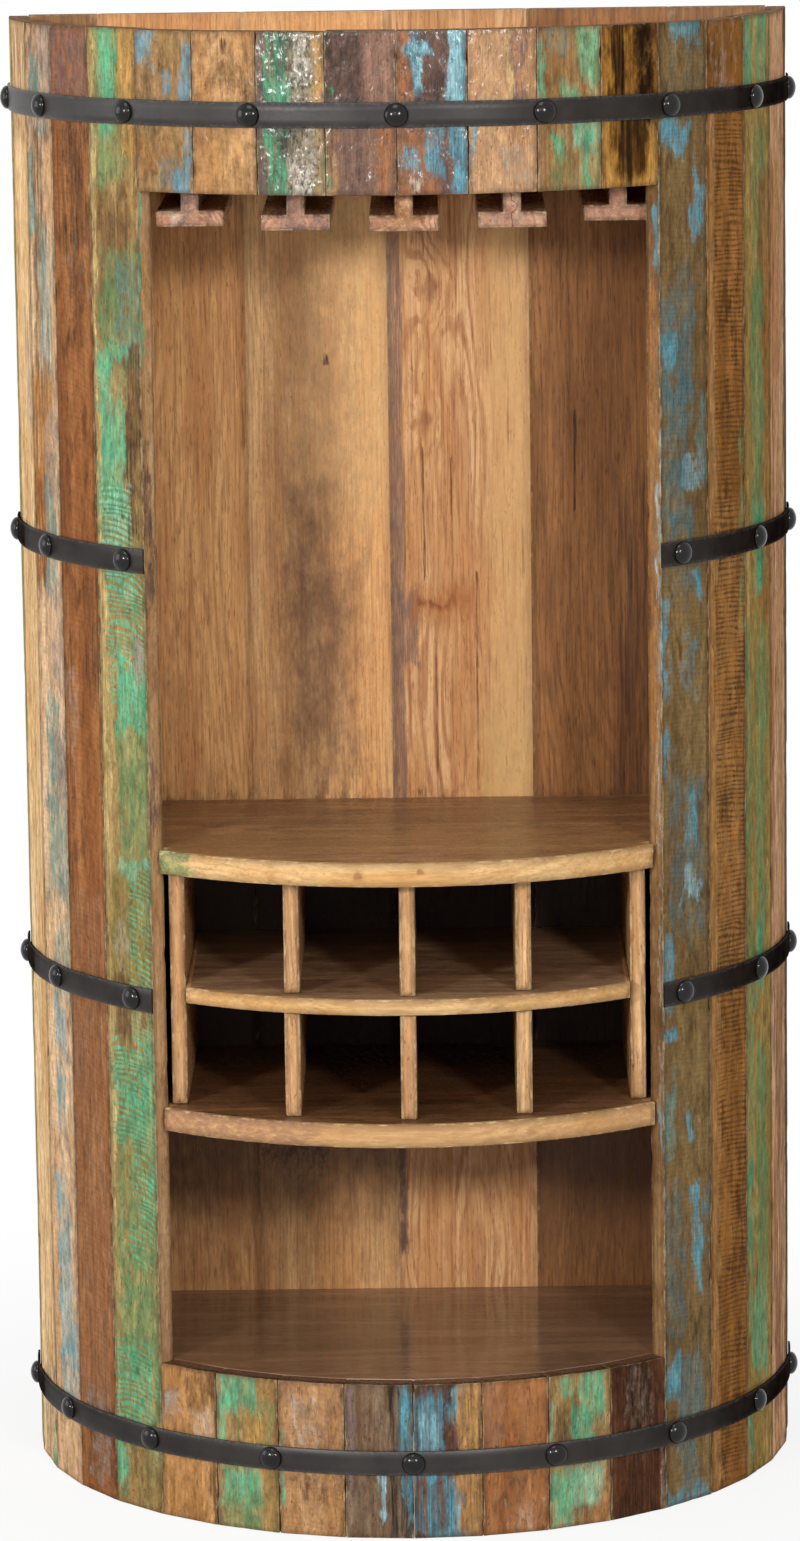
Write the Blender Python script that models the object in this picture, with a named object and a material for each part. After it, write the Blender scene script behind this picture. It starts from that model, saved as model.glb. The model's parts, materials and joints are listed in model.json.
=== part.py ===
"""Wine bar cabinet in the form of a half barrel.

Flat staves stand round a half circle and are held by riveted hoops. The opening between the side staves
has a fascia of short staves above it and a base of short staves below it. Inside are a top board with
glass rails, two shelves with a bottle rack between them, and a floor board. Planks close the flat back.

Metres, +Z up. The open front faces -Y. The origin is on the floor, in the middle of the footprint.
"""

import math

import bmesh
import bpy
from mathutils import Matrix

# Barrel
HEIGHT = 1.512                    # floor to rim
CORNER_RADIUS = 0.400             # barrel axis to the outer corners of the staves
SIDE_STAVES = 5                   # full-height staves on each side
OPENING_STAVES = 8                # stave places taken up by the opening
STAVE_THICKNESS = 0.020
FASCIA_HEIGHT = 0.160
BASE_HEIGHT = 0.160

# Flat back
BACK_THICKNESS = 0.018
BACK_PLANKS = 6
BACK_PLANK_WIDTH = 0.147          # of the inner planks, and the outer two fill what is left
BACK_SEAM_OFFSET = -0.014         # middle of the row of seams, measured from the middle of the back

# Boards inside
BOARD_THICKNESS = 0.024
TOP_BOARD_LIFT = 0.010            # underside of the top board above the lower edge of the fascia
LOWER_SHELF_HEIGHT = 0.426        # floor to the top of the lower shelf
SHELF_SETBACK = 0.008             # shelf front behind the corners of the staves
JAMB_CLEARANCE = 0.004            # shelf end to the side of the opening

# Bottle rack
RACK_CELLS = 4
RACK_SIDE_GAP = 0.004             # end board to the side of the opening
LOWER_CELL_HEIGHT = 0.108
UPPER_CELL_HEIGHT = 0.117
RACK_BOARD_THICKNESS = 0.016
LOWER_DIVIDER_SETBACK = 0.006     # behind the front of the middle shelf
UPPER_DIVIDER_SETBACK = 0.016
RACK_END_SETBACK = 0.003

# Glass rails
RAIL_COUNT = 5
GLASS_SLOT_WIDTH = 0.038          # between two flanges, for the stem of a glass
RAIL_ROW_SHIFT = 0.006            # the row hangs a little to the right of the middle
RAIL_STEM_WIDTH = 0.018
RAIL_STEM_HEIGHT = 0.031
RAIL_FLANGE_WIDTH = 0.068
RAIL_FLANGE_THICKNESS = 0.016
RAIL_FRONT_GAP = 0.006            # front end of a rail to the staves

# Hoops and rivets
HOOP_WIDTH = 0.025
HOOP_THICKNESS = 0.002
TOP_HOOP_DROP = 0.082             # rim to the middle of the top hoop
UPPER_HOOP_HEIGHT = 0.984         # floor to the middle of the hoop
LOWER_HOOP_HEIGHT = 0.537
BOTTOM_HOOP_HEIGHT = 0.079
RIVET_DIAMETER = 0.024
RIVET_HEIGHT = 0.008
FULL_HOOP_RIVETS = 9
SHORT_HOOP_RIVETS = 3
RIVET_TO_BACK = 0.042             # last rivet to the back end of its hoop, along the hoop
RIVET_TO_OPENING = 0.028          # first rivet of a short hoop to the opening, along the hoop

# Fits
JOINT_GAP = 0.0003                # between pieces that touch
EDGE_EASING = 0.0015              # worn-off arris of every wooden piece

# Fineness of the round forms
HOOP_STEPS_PER_STAVE = 2
SHELF_FRONT_STEPS = 16
RIVET_SIDES = 16
RIVET_RINGS = 4
SHARP_BEND = math.radians(30)     # a bend above this is an edge, one below it is a curve
SAME_POINT = 1e-6                 # points closer than this are one

# Worked out from the sizes above
STAVE_COUNT = 2 * SIDE_STAVES + OPENING_STAVES
STAVE_ANGLE = math.pi / STAVE_COUNT
HALF_STAVE = STAVE_ANGLE / 2
OPENING_HALF_ANGLE = STAVE_ANGLE * OPENING_STAVES / 2
OUTER_APOTHEM = CORNER_RADIUS * math.cos(HALF_STAVE)
INNER_APOTHEM = OUTER_APOTHEM - STAVE_THICKNESS
INSIDE = INNER_APOTHEM - JOINT_GAP
BACK_LINE = -BACK_THICKNESS - JOINT_GAP

FASCIA_BOTTOM = HEIGHT - FASCIA_HEIGHT
TOP_BOARD_BOTTOM = FASCIA_BOTTOM + TOP_BOARD_LIFT
MID_SHELF_BOTTOM = LOWER_SHELF_HEIGHT + LOWER_CELL_HEIGHT
MID_SHELF_TOP = MID_SHELF_BOTTOM + RACK_BOARD_THICKNESS
UPPER_SHELF_BOTTOM = MID_SHELF_TOP + UPPER_CELL_HEIGHT
OPENING_HALF_WIDTH = INNER_APOTHEM / math.cos(HALF_STAVE) * math.sin(OPENING_HALF_ANGLE)
RACK_HALF_WIDTH = OPENING_HALF_WIDTH - RACK_SIDE_GAP
RACK_PITCH = (2 * RACK_HALF_WIDTH - RACK_BOARD_THICKNESS) / RACK_CELLS
RAIL_PITCH = RAIL_FLANGE_WIDTH + GLASS_SLOT_WIDTH

HOOP_INNER = CORNER_RADIUS + JOINT_GAP
HOOP_OUTER = HOOP_INNER + HOOP_THICKNESS
DEPTH = HOOP_OUTER + RIVET_HEIGHT

# Colours of the old paint and bare wood, from the opening outwards on the sides, left to right elsewhere
LEFT_STAVE_COLOURS = ("7FA581", "8E6145", "8C7D6C", "BA9A72", "8D8B74")
RIGHT_STAVE_COLOURS = ("746A4A", "6E5038", "70795A", "8B6F5C", "5E534B")
FASCIA_COLOURS = ("937D55", "B4864F", "8A8B6B", "6F5047", "7C4F40", "B58759", "88744C", "A67D4C")
BASE_COLOURS = ("94744F", "8F8A60", "AE8254", "6F5E50", "625C5A", "99603B", "8B7950", "5D3D30")
BACK_COLOURS = ("6B4A32", "7C5739", "98693C", "AE7A46", "6A472F", "5F412C")
TOP_BOARD_COLOUR = "6A4C36"
SHELF_COLOUR = "8C6A48"
FLOOR_COLOUR = "5F4936"
RACK_COLOUR = "A87D55"
RAIL_COLOUR = "996C58"
HOOP_COLOUR = "38363A"

OLD_PAINT_ROUGHNESS = 0.60
SAWN_ROUGHNESS = 0.70
VARNISH_ROUGHNESS = 0.35
STEEL_ROUGHNESS = 0.45


def linear_channel(value):
    """One sRGB channel, 0 to 255, as linear light."""
    share = value / 255
    if share <= 0.04045:
        return share / 12.92
    return ((share + 0.055) / 1.055) ** 2.4


def finish(piece, colour, roughness, metallic=0.0):
    """Gives a piece its own material, with its colour as an sRGB hex value."""
    material = bpy.data.materials.new(piece.name)
    material.use_nodes = True
    shader = material.node_tree.nodes["Principled BSDF"]
    channels = [linear_channel(value) for value in bytes.fromhex(colour)]
    shader.inputs["Base Color"].default_value = (*channels, 1.0)
    shader.inputs["Roughness"].default_value = roughness
    shader.inputs["Metallic"].default_value = metallic
    piece.data.materials.append(material)


def polar(radius, angle):
    """A point of the plan, at an angle from the front that grows towards +X."""
    return (radius * math.sin(angle), -radius * math.cos(angle))


def spread(first, last, count):
    """Evenly spaced values from the first to the last."""
    if count == 1:
        return [(first + last) / 2]
    return [first + (last - first) * step / (count - 1) for step in range(count)]


def mesh_from(name, shape):
    """Turns a finished bmesh into a mesh with its faces pointing out."""
    bmesh.ops.recalc_face_normals(shape, faces=shape.faces)
    mesh = bpy.data.meshes.new(name)
    shape.to_mesh(mesh)
    shape.free()
    return mesh


def prism(name, outline, low, high):
    """A plan outline extruded between two heights."""
    shape = bmesh.new()
    corners = [shape.verts.new((x, y, low)) for x, y in outline]
    face = shape.faces.new(corners)
    grown = bmesh.ops.extrude_face_region(shape, geom=[face])
    raised = [item for item in grown["geom"] if isinstance(item, bmesh.types.BMVert)]
    bmesh.ops.translate(shape, vec=(0, 0, high - low), verts=raised)
    return mesh_from(name, shape)


def add_piece(name, mesh, axis, angle=0.0):
    """Puts a mesh on the barrel axis, turned by an angle from the front."""
    piece = bpy.data.objects.new(name, mesh)
    bpy.context.scene.collection.objects.link(piece)
    piece.parent = axis
    piece.rotation_euler.z = angle
    return piece


def ease_edges(piece):
    """Takes the sharp arris off a wooden piece and leaves its shallow bends alone."""
    bevel = piece.modifiers.new("eased edges", "BEVEL")
    bevel.width = EDGE_EASING
    bevel.segments = 1
    bevel.limit_method = "ANGLE"
    bevel.angle_limit = SHARP_BEND


def add_wood(name, mesh, axis, colour, roughness, angle=0.0):
    """A wooden piece with eased edges and its finish."""
    piece = add_piece(name, mesh, axis, angle)
    ease_edges(piece)
    finish(piece, colour, roughness)
    return piece


def box_outline(left, right, front, back):
    """A rectangle in plan."""
    return [(left, front), (right, front), (right, back), (left, back)]


# Staves

def stave_outline():
    """Plan of one stave at the front: flat faces, and sides cut on radii of the barrel."""
    half_gap = JOINT_GAP / 2 / math.cos(HALF_STAVE)
    outer = OUTER_APOTHEM * math.tan(HALF_STAVE) - half_gap
    inner = INNER_APOTHEM * math.tan(HALF_STAVE) - half_gap
    return [(-outer, -OUTER_APOTHEM), (outer, -OUTER_APOTHEM), (inner, -INNER_APOTHEM), (-inner, -INNER_APOTHEM)]


def add_staves(axis):
    """Side staves at full height, and the short staves above and below the opening."""
    for side, sign, colours in (("left", -1, LEFT_STAVE_COLOURS), ("right", 1, RIGHT_STAVE_COLOURS)):
        for place in range(SIDE_STAVES):
            angle = sign * (OPENING_HALF_ANGLE + STAVE_ANGLE * (place + 0.5))
            name = f"side_stave_{side}_{place + 1}"
            mesh = prism(name, stave_outline(), 0.0, HEIGHT)
            add_wood(name, mesh, axis, colours[place % len(colours)], OLD_PAINT_ROUGHNESS, angle)

    short_staves = (
        ("fascia_stave", FASCIA_BOTTOM, HEIGHT, FASCIA_COLOURS),
        ("base_stave", 0.0, BASE_HEIGHT, BASE_COLOURS),
    )
    for kind, low, high, colours in short_staves:
        for place in range(OPENING_STAVES):
            angle = -OPENING_HALF_ANGLE + STAVE_ANGLE * (place + 0.5)
            name = f"{kind}_{place + 1}"
            mesh = prism(name, stave_outline(), low, high)
            add_wood(name, mesh, axis, colours[place % len(colours)], OLD_PAINT_ROUGHNESS, angle)


# Back

def wall_x(back_y):
    """Half the width between the rearmost staves, at a distance in front of the barrel axis."""
    facing = math.pi / 2 - HALF_STAVE
    return (INSIDE + back_y * math.cos(facing)) / math.sin(facing)


def back_seams():
    """Seams between the back planks, left to right."""
    middle = (BACK_PLANKS - 2) / 2
    return [BACK_SEAM_OFFSET + BACK_PLANK_WIDTH * (place - middle) for place in range(BACK_PLANKS - 1)]


def add_back(axis):
    """Full-height planks between the rearmost staves, the outer two cut to lie along them."""
    seams = back_seams()
    lefts = [None] + [seam + JOINT_GAP / 2 for seam in seams]
    rights = [seam - JOINT_GAP / 2 for seam in seams] + [None]
    for place, (left, right) in enumerate(zip(lefts, rights)):
        left_front = -wall_x(-BACK_THICKNESS) if left is None else left
        left_back = -wall_x(0.0) if left is None else left
        right_front = wall_x(-BACK_THICKNESS) if right is None else right
        right_back = wall_x(0.0) if right is None else right
        outline = [(left_front, -BACK_THICKNESS), (right_front, -BACK_THICKNESS), (right_back, 0.0), (left_back, 0.0)]
        name = f"back_plank_{place + 1}"
        mesh = prism(name, outline, 0.0, HEIGHT)
        add_wood(name, mesh, axis, BACK_COLOURS[place % len(BACK_COLOURS)], SAWN_ROUGHNESS)


# Boards across the barrel

def side_outline(sign):
    """Corners along one side wall, from the back to the opening."""
    corner_radius = INSIDE / math.cos(HALF_STAVE)
    corners = [(sign * wall_x(BACK_LINE), BACK_LINE)]
    for place in range(1, SIDE_STAVES + 1):
        corners.append(polar(corner_radius, sign * (math.pi / 2 - STAVE_ANGLE * place)))
    return corners


def full_board_outline():
    """A board that follows the inside of the staves all round."""
    corner_radius = INSIDE / math.cos(HALF_STAVE)
    front = []
    for place in range(1, OPENING_STAVES):
        front.append(polar(corner_radius, -OPENING_HALF_ANGLE + STAVE_ANGLE * place))
    return side_outline(-1) + front + side_outline(1)[::-1]


def shelf_outline():
    """A board that follows the side walls and reaches out between the jambs, with a curved front."""
    front_radius = CORNER_RADIUS - SHELF_SETBACK
    neck_radius = INSIDE / math.cos(HALF_STAVE)
    half_angle = OPENING_HALF_ANGLE - math.asin(JAMB_CLEARANCE / front_radius)
    angles = spread(-half_angle, half_angle, SHELF_FRONT_STEPS + 1)
    front = [polar(front_radius, angle) for angle in angles]
    neck = [polar(neck_radius, -half_angle), polar(neck_radius, half_angle)]
    return side_outline(-1) + [neck[0]] + front + [neck[1]] + side_outline(1)[::-1]


def add_boards(axis):
    """Top board, two shelves and floor board."""
    boards = (
        ("top_board", full_board_outline(), TOP_BOARD_BOTTOM, TOP_BOARD_COLOUR, SAWN_ROUGHNESS),
        ("upper_shelf", shelf_outline(), UPPER_SHELF_BOTTOM, SHELF_COLOUR, VARNISH_ROUGHNESS),
        ("lower_shelf", shelf_outline(), LOWER_SHELF_HEIGHT - BOARD_THICKNESS, SHELF_COLOUR, VARNISH_ROUGHNESS),
        ("floor_board", full_board_outline(), BASE_HEIGHT - BOARD_THICKNESS, FLOOR_COLOUR, VARNISH_ROUGHNESS),
    )
    for name, outline, low, colour, roughness in boards:
        mesh = prism(name, outline, low, low + BOARD_THICKNESS)
        add_wood(name, mesh, axis, colour, roughness)


# Bottle rack

def front_line(x, setback):
    """How far forward an upright can reach at a distance from the middle, inside the staves."""
    return -math.sqrt((INSIDE - setback) ** 2 - x ** 2)


def upright_mesh(name, middle, setback, low, high):
    """An upright board of the rack, standing across the barrel at a distance from the middle."""
    half = RACK_BOARD_THICKNESS / 2
    front = front_line(abs(middle) + half, setback)
    outline = box_outline(middle - half, middle + half, front, BACK_LINE)
    return prism(name, outline, low + JOINT_GAP, high - JOINT_GAP)


def mid_shelf_outline():
    """The rack's middle shelf, between its end boards, with a curved front."""
    half_width = RACK_HALF_WIDTH - RACK_BOARD_THICKNESS - JOINT_GAP
    half_angle = math.asin(half_width / INSIDE)
    front = [polar(INSIDE, angle) for angle in spread(-half_angle, half_angle, SHELF_FRONT_STEPS + 1)]
    return [(-half_width, BACK_LINE)] + front + [(half_width, BACK_LINE)]


def add_rack(axis):
    """Two end boards, the middle shelf, and a row of dividers above and below it."""
    end_middle = RACK_HALF_WIDTH - RACK_BOARD_THICKNESS / 2
    for side, sign in (("left", -1), ("right", 1)):
        name = f"rack_end_{side}"
        mesh = upright_mesh(name, sign * end_middle, RACK_END_SETBACK, LOWER_SHELF_HEIGHT, UPPER_SHELF_BOTTOM)
        add_wood(name, mesh, axis, RACK_COLOUR, SAWN_ROUGHNESS)

    mesh = prism("rack_mid_shelf", mid_shelf_outline(), MID_SHELF_BOTTOM, MID_SHELF_TOP)
    add_wood("rack_mid_shelf", mesh, axis, RACK_COLOUR, SAWN_ROUGHNESS)

    rows = (
        ("upper", UPPER_DIVIDER_SETBACK, MID_SHELF_TOP, UPPER_SHELF_BOTTOM),
        ("lower", LOWER_DIVIDER_SETBACK, LOWER_SHELF_HEIGHT, MID_SHELF_BOTTOM),
    )
    for row, setback, low, high in rows:
        for place in range(1, RACK_CELLS):
            middle = RACK_PITCH * (place - RACK_CELLS / 2)
            name = f"rack_divider_{row}_{place}"
            mesh = upright_mesh(name, middle, setback, low, high)
            add_wood(name, mesh, axis, RACK_COLOUR, SAWN_ROUGHNESS)


# Glass rails

def rail_mesh(name, middle):
    """A T-section rail hanging from the top board, drawn as its front end and extruded to the back."""
    front = front_line(abs(middle) + RAIL_FLANGE_WIDTH / 2, RAIL_FRONT_GAP)
    top = TOP_BOARD_BOTTOM - JOINT_GAP
    step = top - RAIL_STEM_HEIGHT
    foot = step - RAIL_FLANGE_THICKNESS
    stem = RAIL_STEM_WIDTH / 2
    flange = RAIL_FLANGE_WIDTH / 2
    section = [
        (-flange, foot), (flange, foot), (flange, step), (stem, step),
        (stem, top), (-stem, top), (-stem, step), (-flange, step),
    ]
    shape = bmesh.new()
    face = shape.faces.new([shape.verts.new((middle + x, front, z)) for x, z in section])
    grown = bmesh.ops.extrude_face_region(shape, geom=[face])
    pushed = [item for item in grown["geom"] if isinstance(item, bmesh.types.BMVert)]
    bmesh.ops.translate(shape, vec=(0, BACK_LINE - front, 0), verts=pushed)
    return mesh_from(name, shape)


def add_rails(axis):
    """A row of rails for hanging stemmed glasses by their feet."""
    for place in range(RAIL_COUNT):
        middle = RAIL_ROW_SHIFT + RAIL_PITCH * (place - (RAIL_COUNT - 1) / 2)
        name = f"glass_rail_{place + 1}"
        add_wood(name, rail_mesh(name, middle), axis, RAIL_COLOUR, SAWN_ROUGHNESS)


# Hoops and rivets

def hoop_band(name, start, end, steps, height):
    """A flat steel band, spun round the barrel axis from one angle to another."""
    low = height - HOOP_WIDTH / 2
    high = height + HOOP_WIDTH / 2
    shape = bmesh.new()
    section = [(HOOP_INNER, low), (HOOP_OUTER, low), (HOOP_OUTER, high), (HOOP_INNER, high)]
    face = shape.faces.new([shape.verts.new((*polar(radius, start), z)) for radius, z in section])
    geometry = [face] + list(face.edges) + list(face.verts)
    bmesh.ops.spin(shape, geom=geometry, cent=(0, 0, 0), axis=(0, 0, 1), angle=end - start, steps=steps)
    mesh = mesh_from(name, shape)
    mesh.shade_smooth()
    mesh.set_sharp_from_angle(angle=SHARP_BEND)
    return mesh


def rivet_dome():
    """A dome head at the front of the barrel, spun about its own axis, with its foot sunk in the band."""
    rim = RIVET_DIAMETER / 2
    ball = (rim ** 2 + RIVET_HEIGHT ** 2) / (2 * RIVET_HEIGHT)
    sweep = math.asin(min(1.0, rim / ball))
    if RIVET_HEIGHT > rim:
        sweep = math.pi - sweep
    profile = [(0.0, -HOOP_THICKNESS / 2), (rim, -HOOP_THICKNESS / 2)]
    for angle in spread(sweep, 0.0, RIVET_RINGS + 1):
        profile.append((ball * math.sin(angle), RIVET_HEIGHT - ball + ball * math.cos(angle)))
    shape = bmesh.new()
    points = [shape.verts.new((radius, -HOOP_OUTER - rise, 0.0)) for radius, rise in profile]
    edges = [shape.edges.new(pair) for pair in zip(points, points[1:])]
    bmesh.ops.spin(
        shape, geom=points + edges, cent=(0, 0, 0), axis=(0, 1, 0), angle=2 * math.pi, steps=RIVET_SIDES
    )
    bmesh.ops.remove_doubles(shape, verts=shape.verts, dist=SAME_POINT)
    return mesh_from("rivet_dome", shape)


def add_hoop(name, axis, start, end, steps, height, rivet_angles, dome):
    """A band with its rivets, which are one with it."""
    band = add_piece(name, hoop_band(name, start, end, steps, height), axis)

    heads = bmesh.new()
    for angle in rivet_angles:
        before = len(heads.verts)
        heads.from_mesh(dome)
        heads.verts.ensure_lookup_table()
        place = Matrix.Rotation(angle, 4, "Z") @ Matrix.Translation((0, 0, height))
        bmesh.ops.transform(heads, matrix=place, verts=heads.verts[before:])
    head_mesh = mesh_from(f"{name}_rivets", heads)
    head_mesh.shade_smooth()
    rivets = add_piece(f"{name}_rivets", head_mesh, axis)
    rivets.hide_render = True
    rivets.display_type = "WIRE"

    union = band.modifiers.new("rivets", "BOOLEAN")
    union.operation = "UNION"
    union.solver = "EXACT"
    union.object = rivets
    finish(band, HOOP_COLOUR, STEEL_ROUGHNESS, metallic=1.0)


def add_hoops(axis):
    """Full hoops at top and bottom, and short ones from the opening to the back on each side."""
    dome = rivet_dome()
    back = math.pi / 2
    back_margin = RIVET_TO_BACK / HOOP_OUTER
    opening_margin = RIVET_TO_OPENING / HOOP_OUTER

    angles = spread(-back + back_margin, back - back_margin, FULL_HOOP_RIVETS)
    steps = STAVE_COUNT * HOOP_STEPS_PER_STAVE
    add_hoop("hoop_top", axis, -back, back, steps, HEIGHT - TOP_HOOP_DROP, angles, dome)
    add_hoop("hoop_bottom", axis, -back, back, steps, BOTTOM_HOOP_HEIGHT, angles, dome)

    angles = spread(OPENING_HALF_ANGLE + opening_margin, back - back_margin, SHORT_HOOP_RIVETS)
    mirrored = [-angle for angle in angles]
    steps = SIDE_STAVES * HOOP_STEPS_PER_STAVE
    for level, height in (("upper", UPPER_HOOP_HEIGHT), ("lower", LOWER_HOOP_HEIGHT)):
        add_hoop(f"hoop_{level}_left", axis, -back, -OPENING_HALF_ANGLE, steps, height, mirrored, dome)
        add_hoop(f"hoop_{level}_right", axis, OPENING_HALF_ANGLE, back, steps, height, angles, dome)
    bpy.data.meshes.remove(dome)


def main():
    for item in list(bpy.data.objects):
        bpy.data.objects.remove(item, do_unlink=True)

    # Every piece hangs on the barrel axis, which stands in the plane of the back
    axis = bpy.data.objects.new("barrel_axis", None)
    bpy.context.scene.collection.objects.link(axis)
    axis.location.y = DEPTH / 2

    add_staves(axis)
    add_back(axis)
    add_boards(axis)
    add_rack(axis)
    add_rails(axis)
    add_hoops(axis)


main()
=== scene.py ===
"""Looks of the half-barrel wine bar cabinet: worn staves with old paint, oiled planks, blackened hoops.

Metres, +Z up, the open front faces -Y. Every wooden piece is drawn as a worn length of timber in the place of
its solid, with its grain along its own Z unless its material says otherwise.
"""

import json
import math
from collections import namedtuple

import bpy
from mathutils import Matrix, Vector, noise


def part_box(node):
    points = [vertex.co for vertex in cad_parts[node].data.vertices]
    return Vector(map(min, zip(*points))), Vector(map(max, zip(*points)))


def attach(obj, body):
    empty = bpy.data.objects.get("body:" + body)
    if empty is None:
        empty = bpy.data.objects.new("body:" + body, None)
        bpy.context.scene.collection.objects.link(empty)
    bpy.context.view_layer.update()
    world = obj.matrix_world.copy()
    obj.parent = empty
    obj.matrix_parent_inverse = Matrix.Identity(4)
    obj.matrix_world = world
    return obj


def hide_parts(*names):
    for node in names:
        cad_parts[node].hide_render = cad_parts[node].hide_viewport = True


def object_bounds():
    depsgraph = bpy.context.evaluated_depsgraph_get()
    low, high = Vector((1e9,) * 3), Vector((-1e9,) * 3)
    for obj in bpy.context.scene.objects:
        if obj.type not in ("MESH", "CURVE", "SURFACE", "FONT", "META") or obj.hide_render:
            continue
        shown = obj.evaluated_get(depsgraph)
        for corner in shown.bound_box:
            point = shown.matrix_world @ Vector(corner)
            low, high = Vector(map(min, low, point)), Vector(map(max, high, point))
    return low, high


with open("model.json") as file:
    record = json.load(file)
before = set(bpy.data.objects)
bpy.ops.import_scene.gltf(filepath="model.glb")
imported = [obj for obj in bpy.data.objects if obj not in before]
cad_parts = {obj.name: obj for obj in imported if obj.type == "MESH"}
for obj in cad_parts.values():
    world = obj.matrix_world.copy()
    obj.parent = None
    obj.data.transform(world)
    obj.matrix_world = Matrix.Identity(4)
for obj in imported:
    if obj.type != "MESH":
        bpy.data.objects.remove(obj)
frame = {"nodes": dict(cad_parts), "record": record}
cad_low, cad_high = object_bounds()

# Barrel, as the frame has it
AXIS_Y = cad_high.y                     # the barrel axis stands in the plane of the back
HEIGHT = cad_high.z
STAVE_COUNT = 18
OPENING_STAVES = 8
STAVE_ANGLE = math.pi / STAVE_COUNT
OPENING_HALF_ANGLE = STAVE_ANGLE * OPENING_STAVES / 2

# How the meshes are drawn
SHARP_TURN = math.radians(35)           # corners that turn more than this are rounded
CREASE = math.radians(50)               # faces that meet at more than this keep a sharp edge
ARRIS_STEPS = 3
FLUSH = 0.00005                         # a face within this of the foot belongs to it
STAVE_SPACING = 0.0045
PLANK_SPACING = 0.010
BOARD_SPACING = 0.006
UPRIGHT_SPACING = 0.004
RAIL_SPACING = 0.004
RAIL_ROW_SPACING = 0.008

# Rounding of long edges
ARRIS_RADIUS = 0.0011
PLANK_ARRIS = 0.0007
SHELF_ARRIS = 0.0016
RACK_SHELF_ARRIS = 0.0014
UPRIGHT_ARRIS = 0.0018
RAIL_ARRIS = 0.0014
WORN_RAIL_ARRIS = 0.0024                # the leftmost rail is the most worn
RAIL_END_ARRIS = 0.0018

# Wear of the timber: sizes of its waves, dents and chips across and along the grain, and their depths
WAVE_SIZE = (0.05, 0.17)
DENT_SIZE = (0.013, 0.05)
CHIP_SIZE = (0.05, 0.022)
PLANK_WAVE_SIZE = (0.06, 0.3)
DENT_LEVEL = 0.25                       # noise above this level is a dent
CHIP_LEVEL = 0.22
STAVE_WAVE = 0.0005
STAVE_DENTS = 0.0018
STAVE_STEP = 0.0004                     # one stave stands this far before or behind the next
BOARD_WAVE = 0.0006
BOARD_DENTS = 0.0012
CHIP_DEPTH = 0.0030
RAIL_CHIP_DEPTH = 0.006
PLANK_WAVE = 0.0004
TIGHT = 0.0002                          # planks swell this far into the seam on each side
MOST_PROUD = 0.0003                     # a stave may stand out this far before it meets the hoops
RIM_UNEVENNESS = 0.0024                 # staves were cut to length by hand
RIM_TILT = 0.02                         # and not quite square
RIM_TILT_POWER = 8                      # the tilt is gone a little way below the rim
END_EASE = 0.3                          # the middle row of an end's rounding, as a share of its radius
LAST_ROW_SHARE = 0.8                    # how much the row below the rounding is worn like an edge
RIM_WIDTH = 0.003                       # strip round an end or a board's face over which its wear fades

# First seed of each kind of piece: seeds pick the place in the wood and the wear
SIDE_SEED = 20
FASCIA_SEED = 30
BASE_SEED = 40
PLANK_SEED = 60
SHELF_SEED = 71
UPRIGHT_SEED = 80
RAIL_SEED = 90

# Camera of the photograph
CAMERA_PLACE = (0.02855, -6.04145, 1.80914)
CAMERA_PITCH = math.radians(9.923)      # down
CAMERA_YAW = math.radians(-0.3254)      # to the right
CAMERA_ROLL = math.radians(-0.7506)
CAMERA_LENS = 140.70                    # mm, on a long side of SENSOR
SENSOR = 36.0

# Old paint and bare wood, as sRGB hex values
MINT = "5DB88C"
PALE_MINT = "8FCFAA"
EMERALD = "35A275"
GREEN = "6E9460"
MOSS = "8A9A62"
TEAL = "6E9A92"
DULL_SKY = "6C9CAC"
SKY = "62AABB"
PALE_BLUE = "A6D6DE"
SLATE_BLUE = "5F8588"
MIST_BLUE = "84B9BE"
CREAM = "CFB377"
CHALK = "DCD2C0"
LILAC = "B3A08F"
RUST = "A0622F"
ORANGE = "BE7A35"
GOLD = "C4934F"
TAN = "B88A54"
PINK_TAN = "A1785F"
OLIVE_PAINT = "86753F"
UMBER = "6A4A2E"
BARE_DARK = "4C3324"
PLUM = "5C4440"
MAUVE = "7D6563"
CHAR = "1E1006"
KNOT_CORE = "7A4326"
GRIME = "3A281A"

# A wood's colours: its late rings and pores, most of it, and its palest streaks
Tones = namedtuple("Tones", "dark mid light")
BLOND = Tones("946A3E", "CDA06A", "E6C290")
HONEY = Tones("644226", "A27548", "C09668")
RED_BROWN = Tones("54321A", "8C5830", "A8744A")
DARK_BROWN = Tones("2E1C17", "5E3F32", "805C4A")
GREY_BROWN = Tones("47362A", "75604B", "97806A")
ROSE = Tones("7E5232", "D0986C", "F0C298")
WALNUT = Tones("3A2008", "744A18", "966630")

# Marks that a round saw left: their spacing, slope, the blade's radius and how far they stray
Saw = namedtuple("Saw", "pitch tilt radius stray")
LEFT_SAW = Saw(0.0062, 0.14, 0.10, 0.028)
RIGHT_SAW = Saw(0.0052, 0.06, 0.60, 0.018)

# One patch of paint or stain: left and right run from -1 to 1 over the face, foot and head are in metres,
# cover is the share that is left, ragged is the width of its broken edge, breakup is what it broke into,
# and soft is how its edge fades
Patch = namedtuple("Patch", "colour left right foot head cover ragged breakup soft", defaults=("flake", 0.42))
STAIN_SOFTNESS = 0.5                    # patches at least this soft are stains, which stay in the fibres
LONG_WANDER = (0.010, 0.022)            # how far outlines of paint stray, across and along a long piece
SHORT_WANDER = (0.008, 0.010)
PLANK_WANDER = (0.0012, 0.012)

# A knot: across runs from -1 to 1 over the face, height and radius are in metres
Knot = namedtuple("Knot", "across height radius")

# How a stave or plank is finished: its wood, its patches from the oldest to the newest, how strongly saw
# marks, specks and figure show, its knots, and its share of lacquer
Finish = namedtuple(
    "Finish", "tones patches saw_marks speckle figure knots gloss", defaults=(0.0, 0.25, 0.5, (), 0.25)
)

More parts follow.
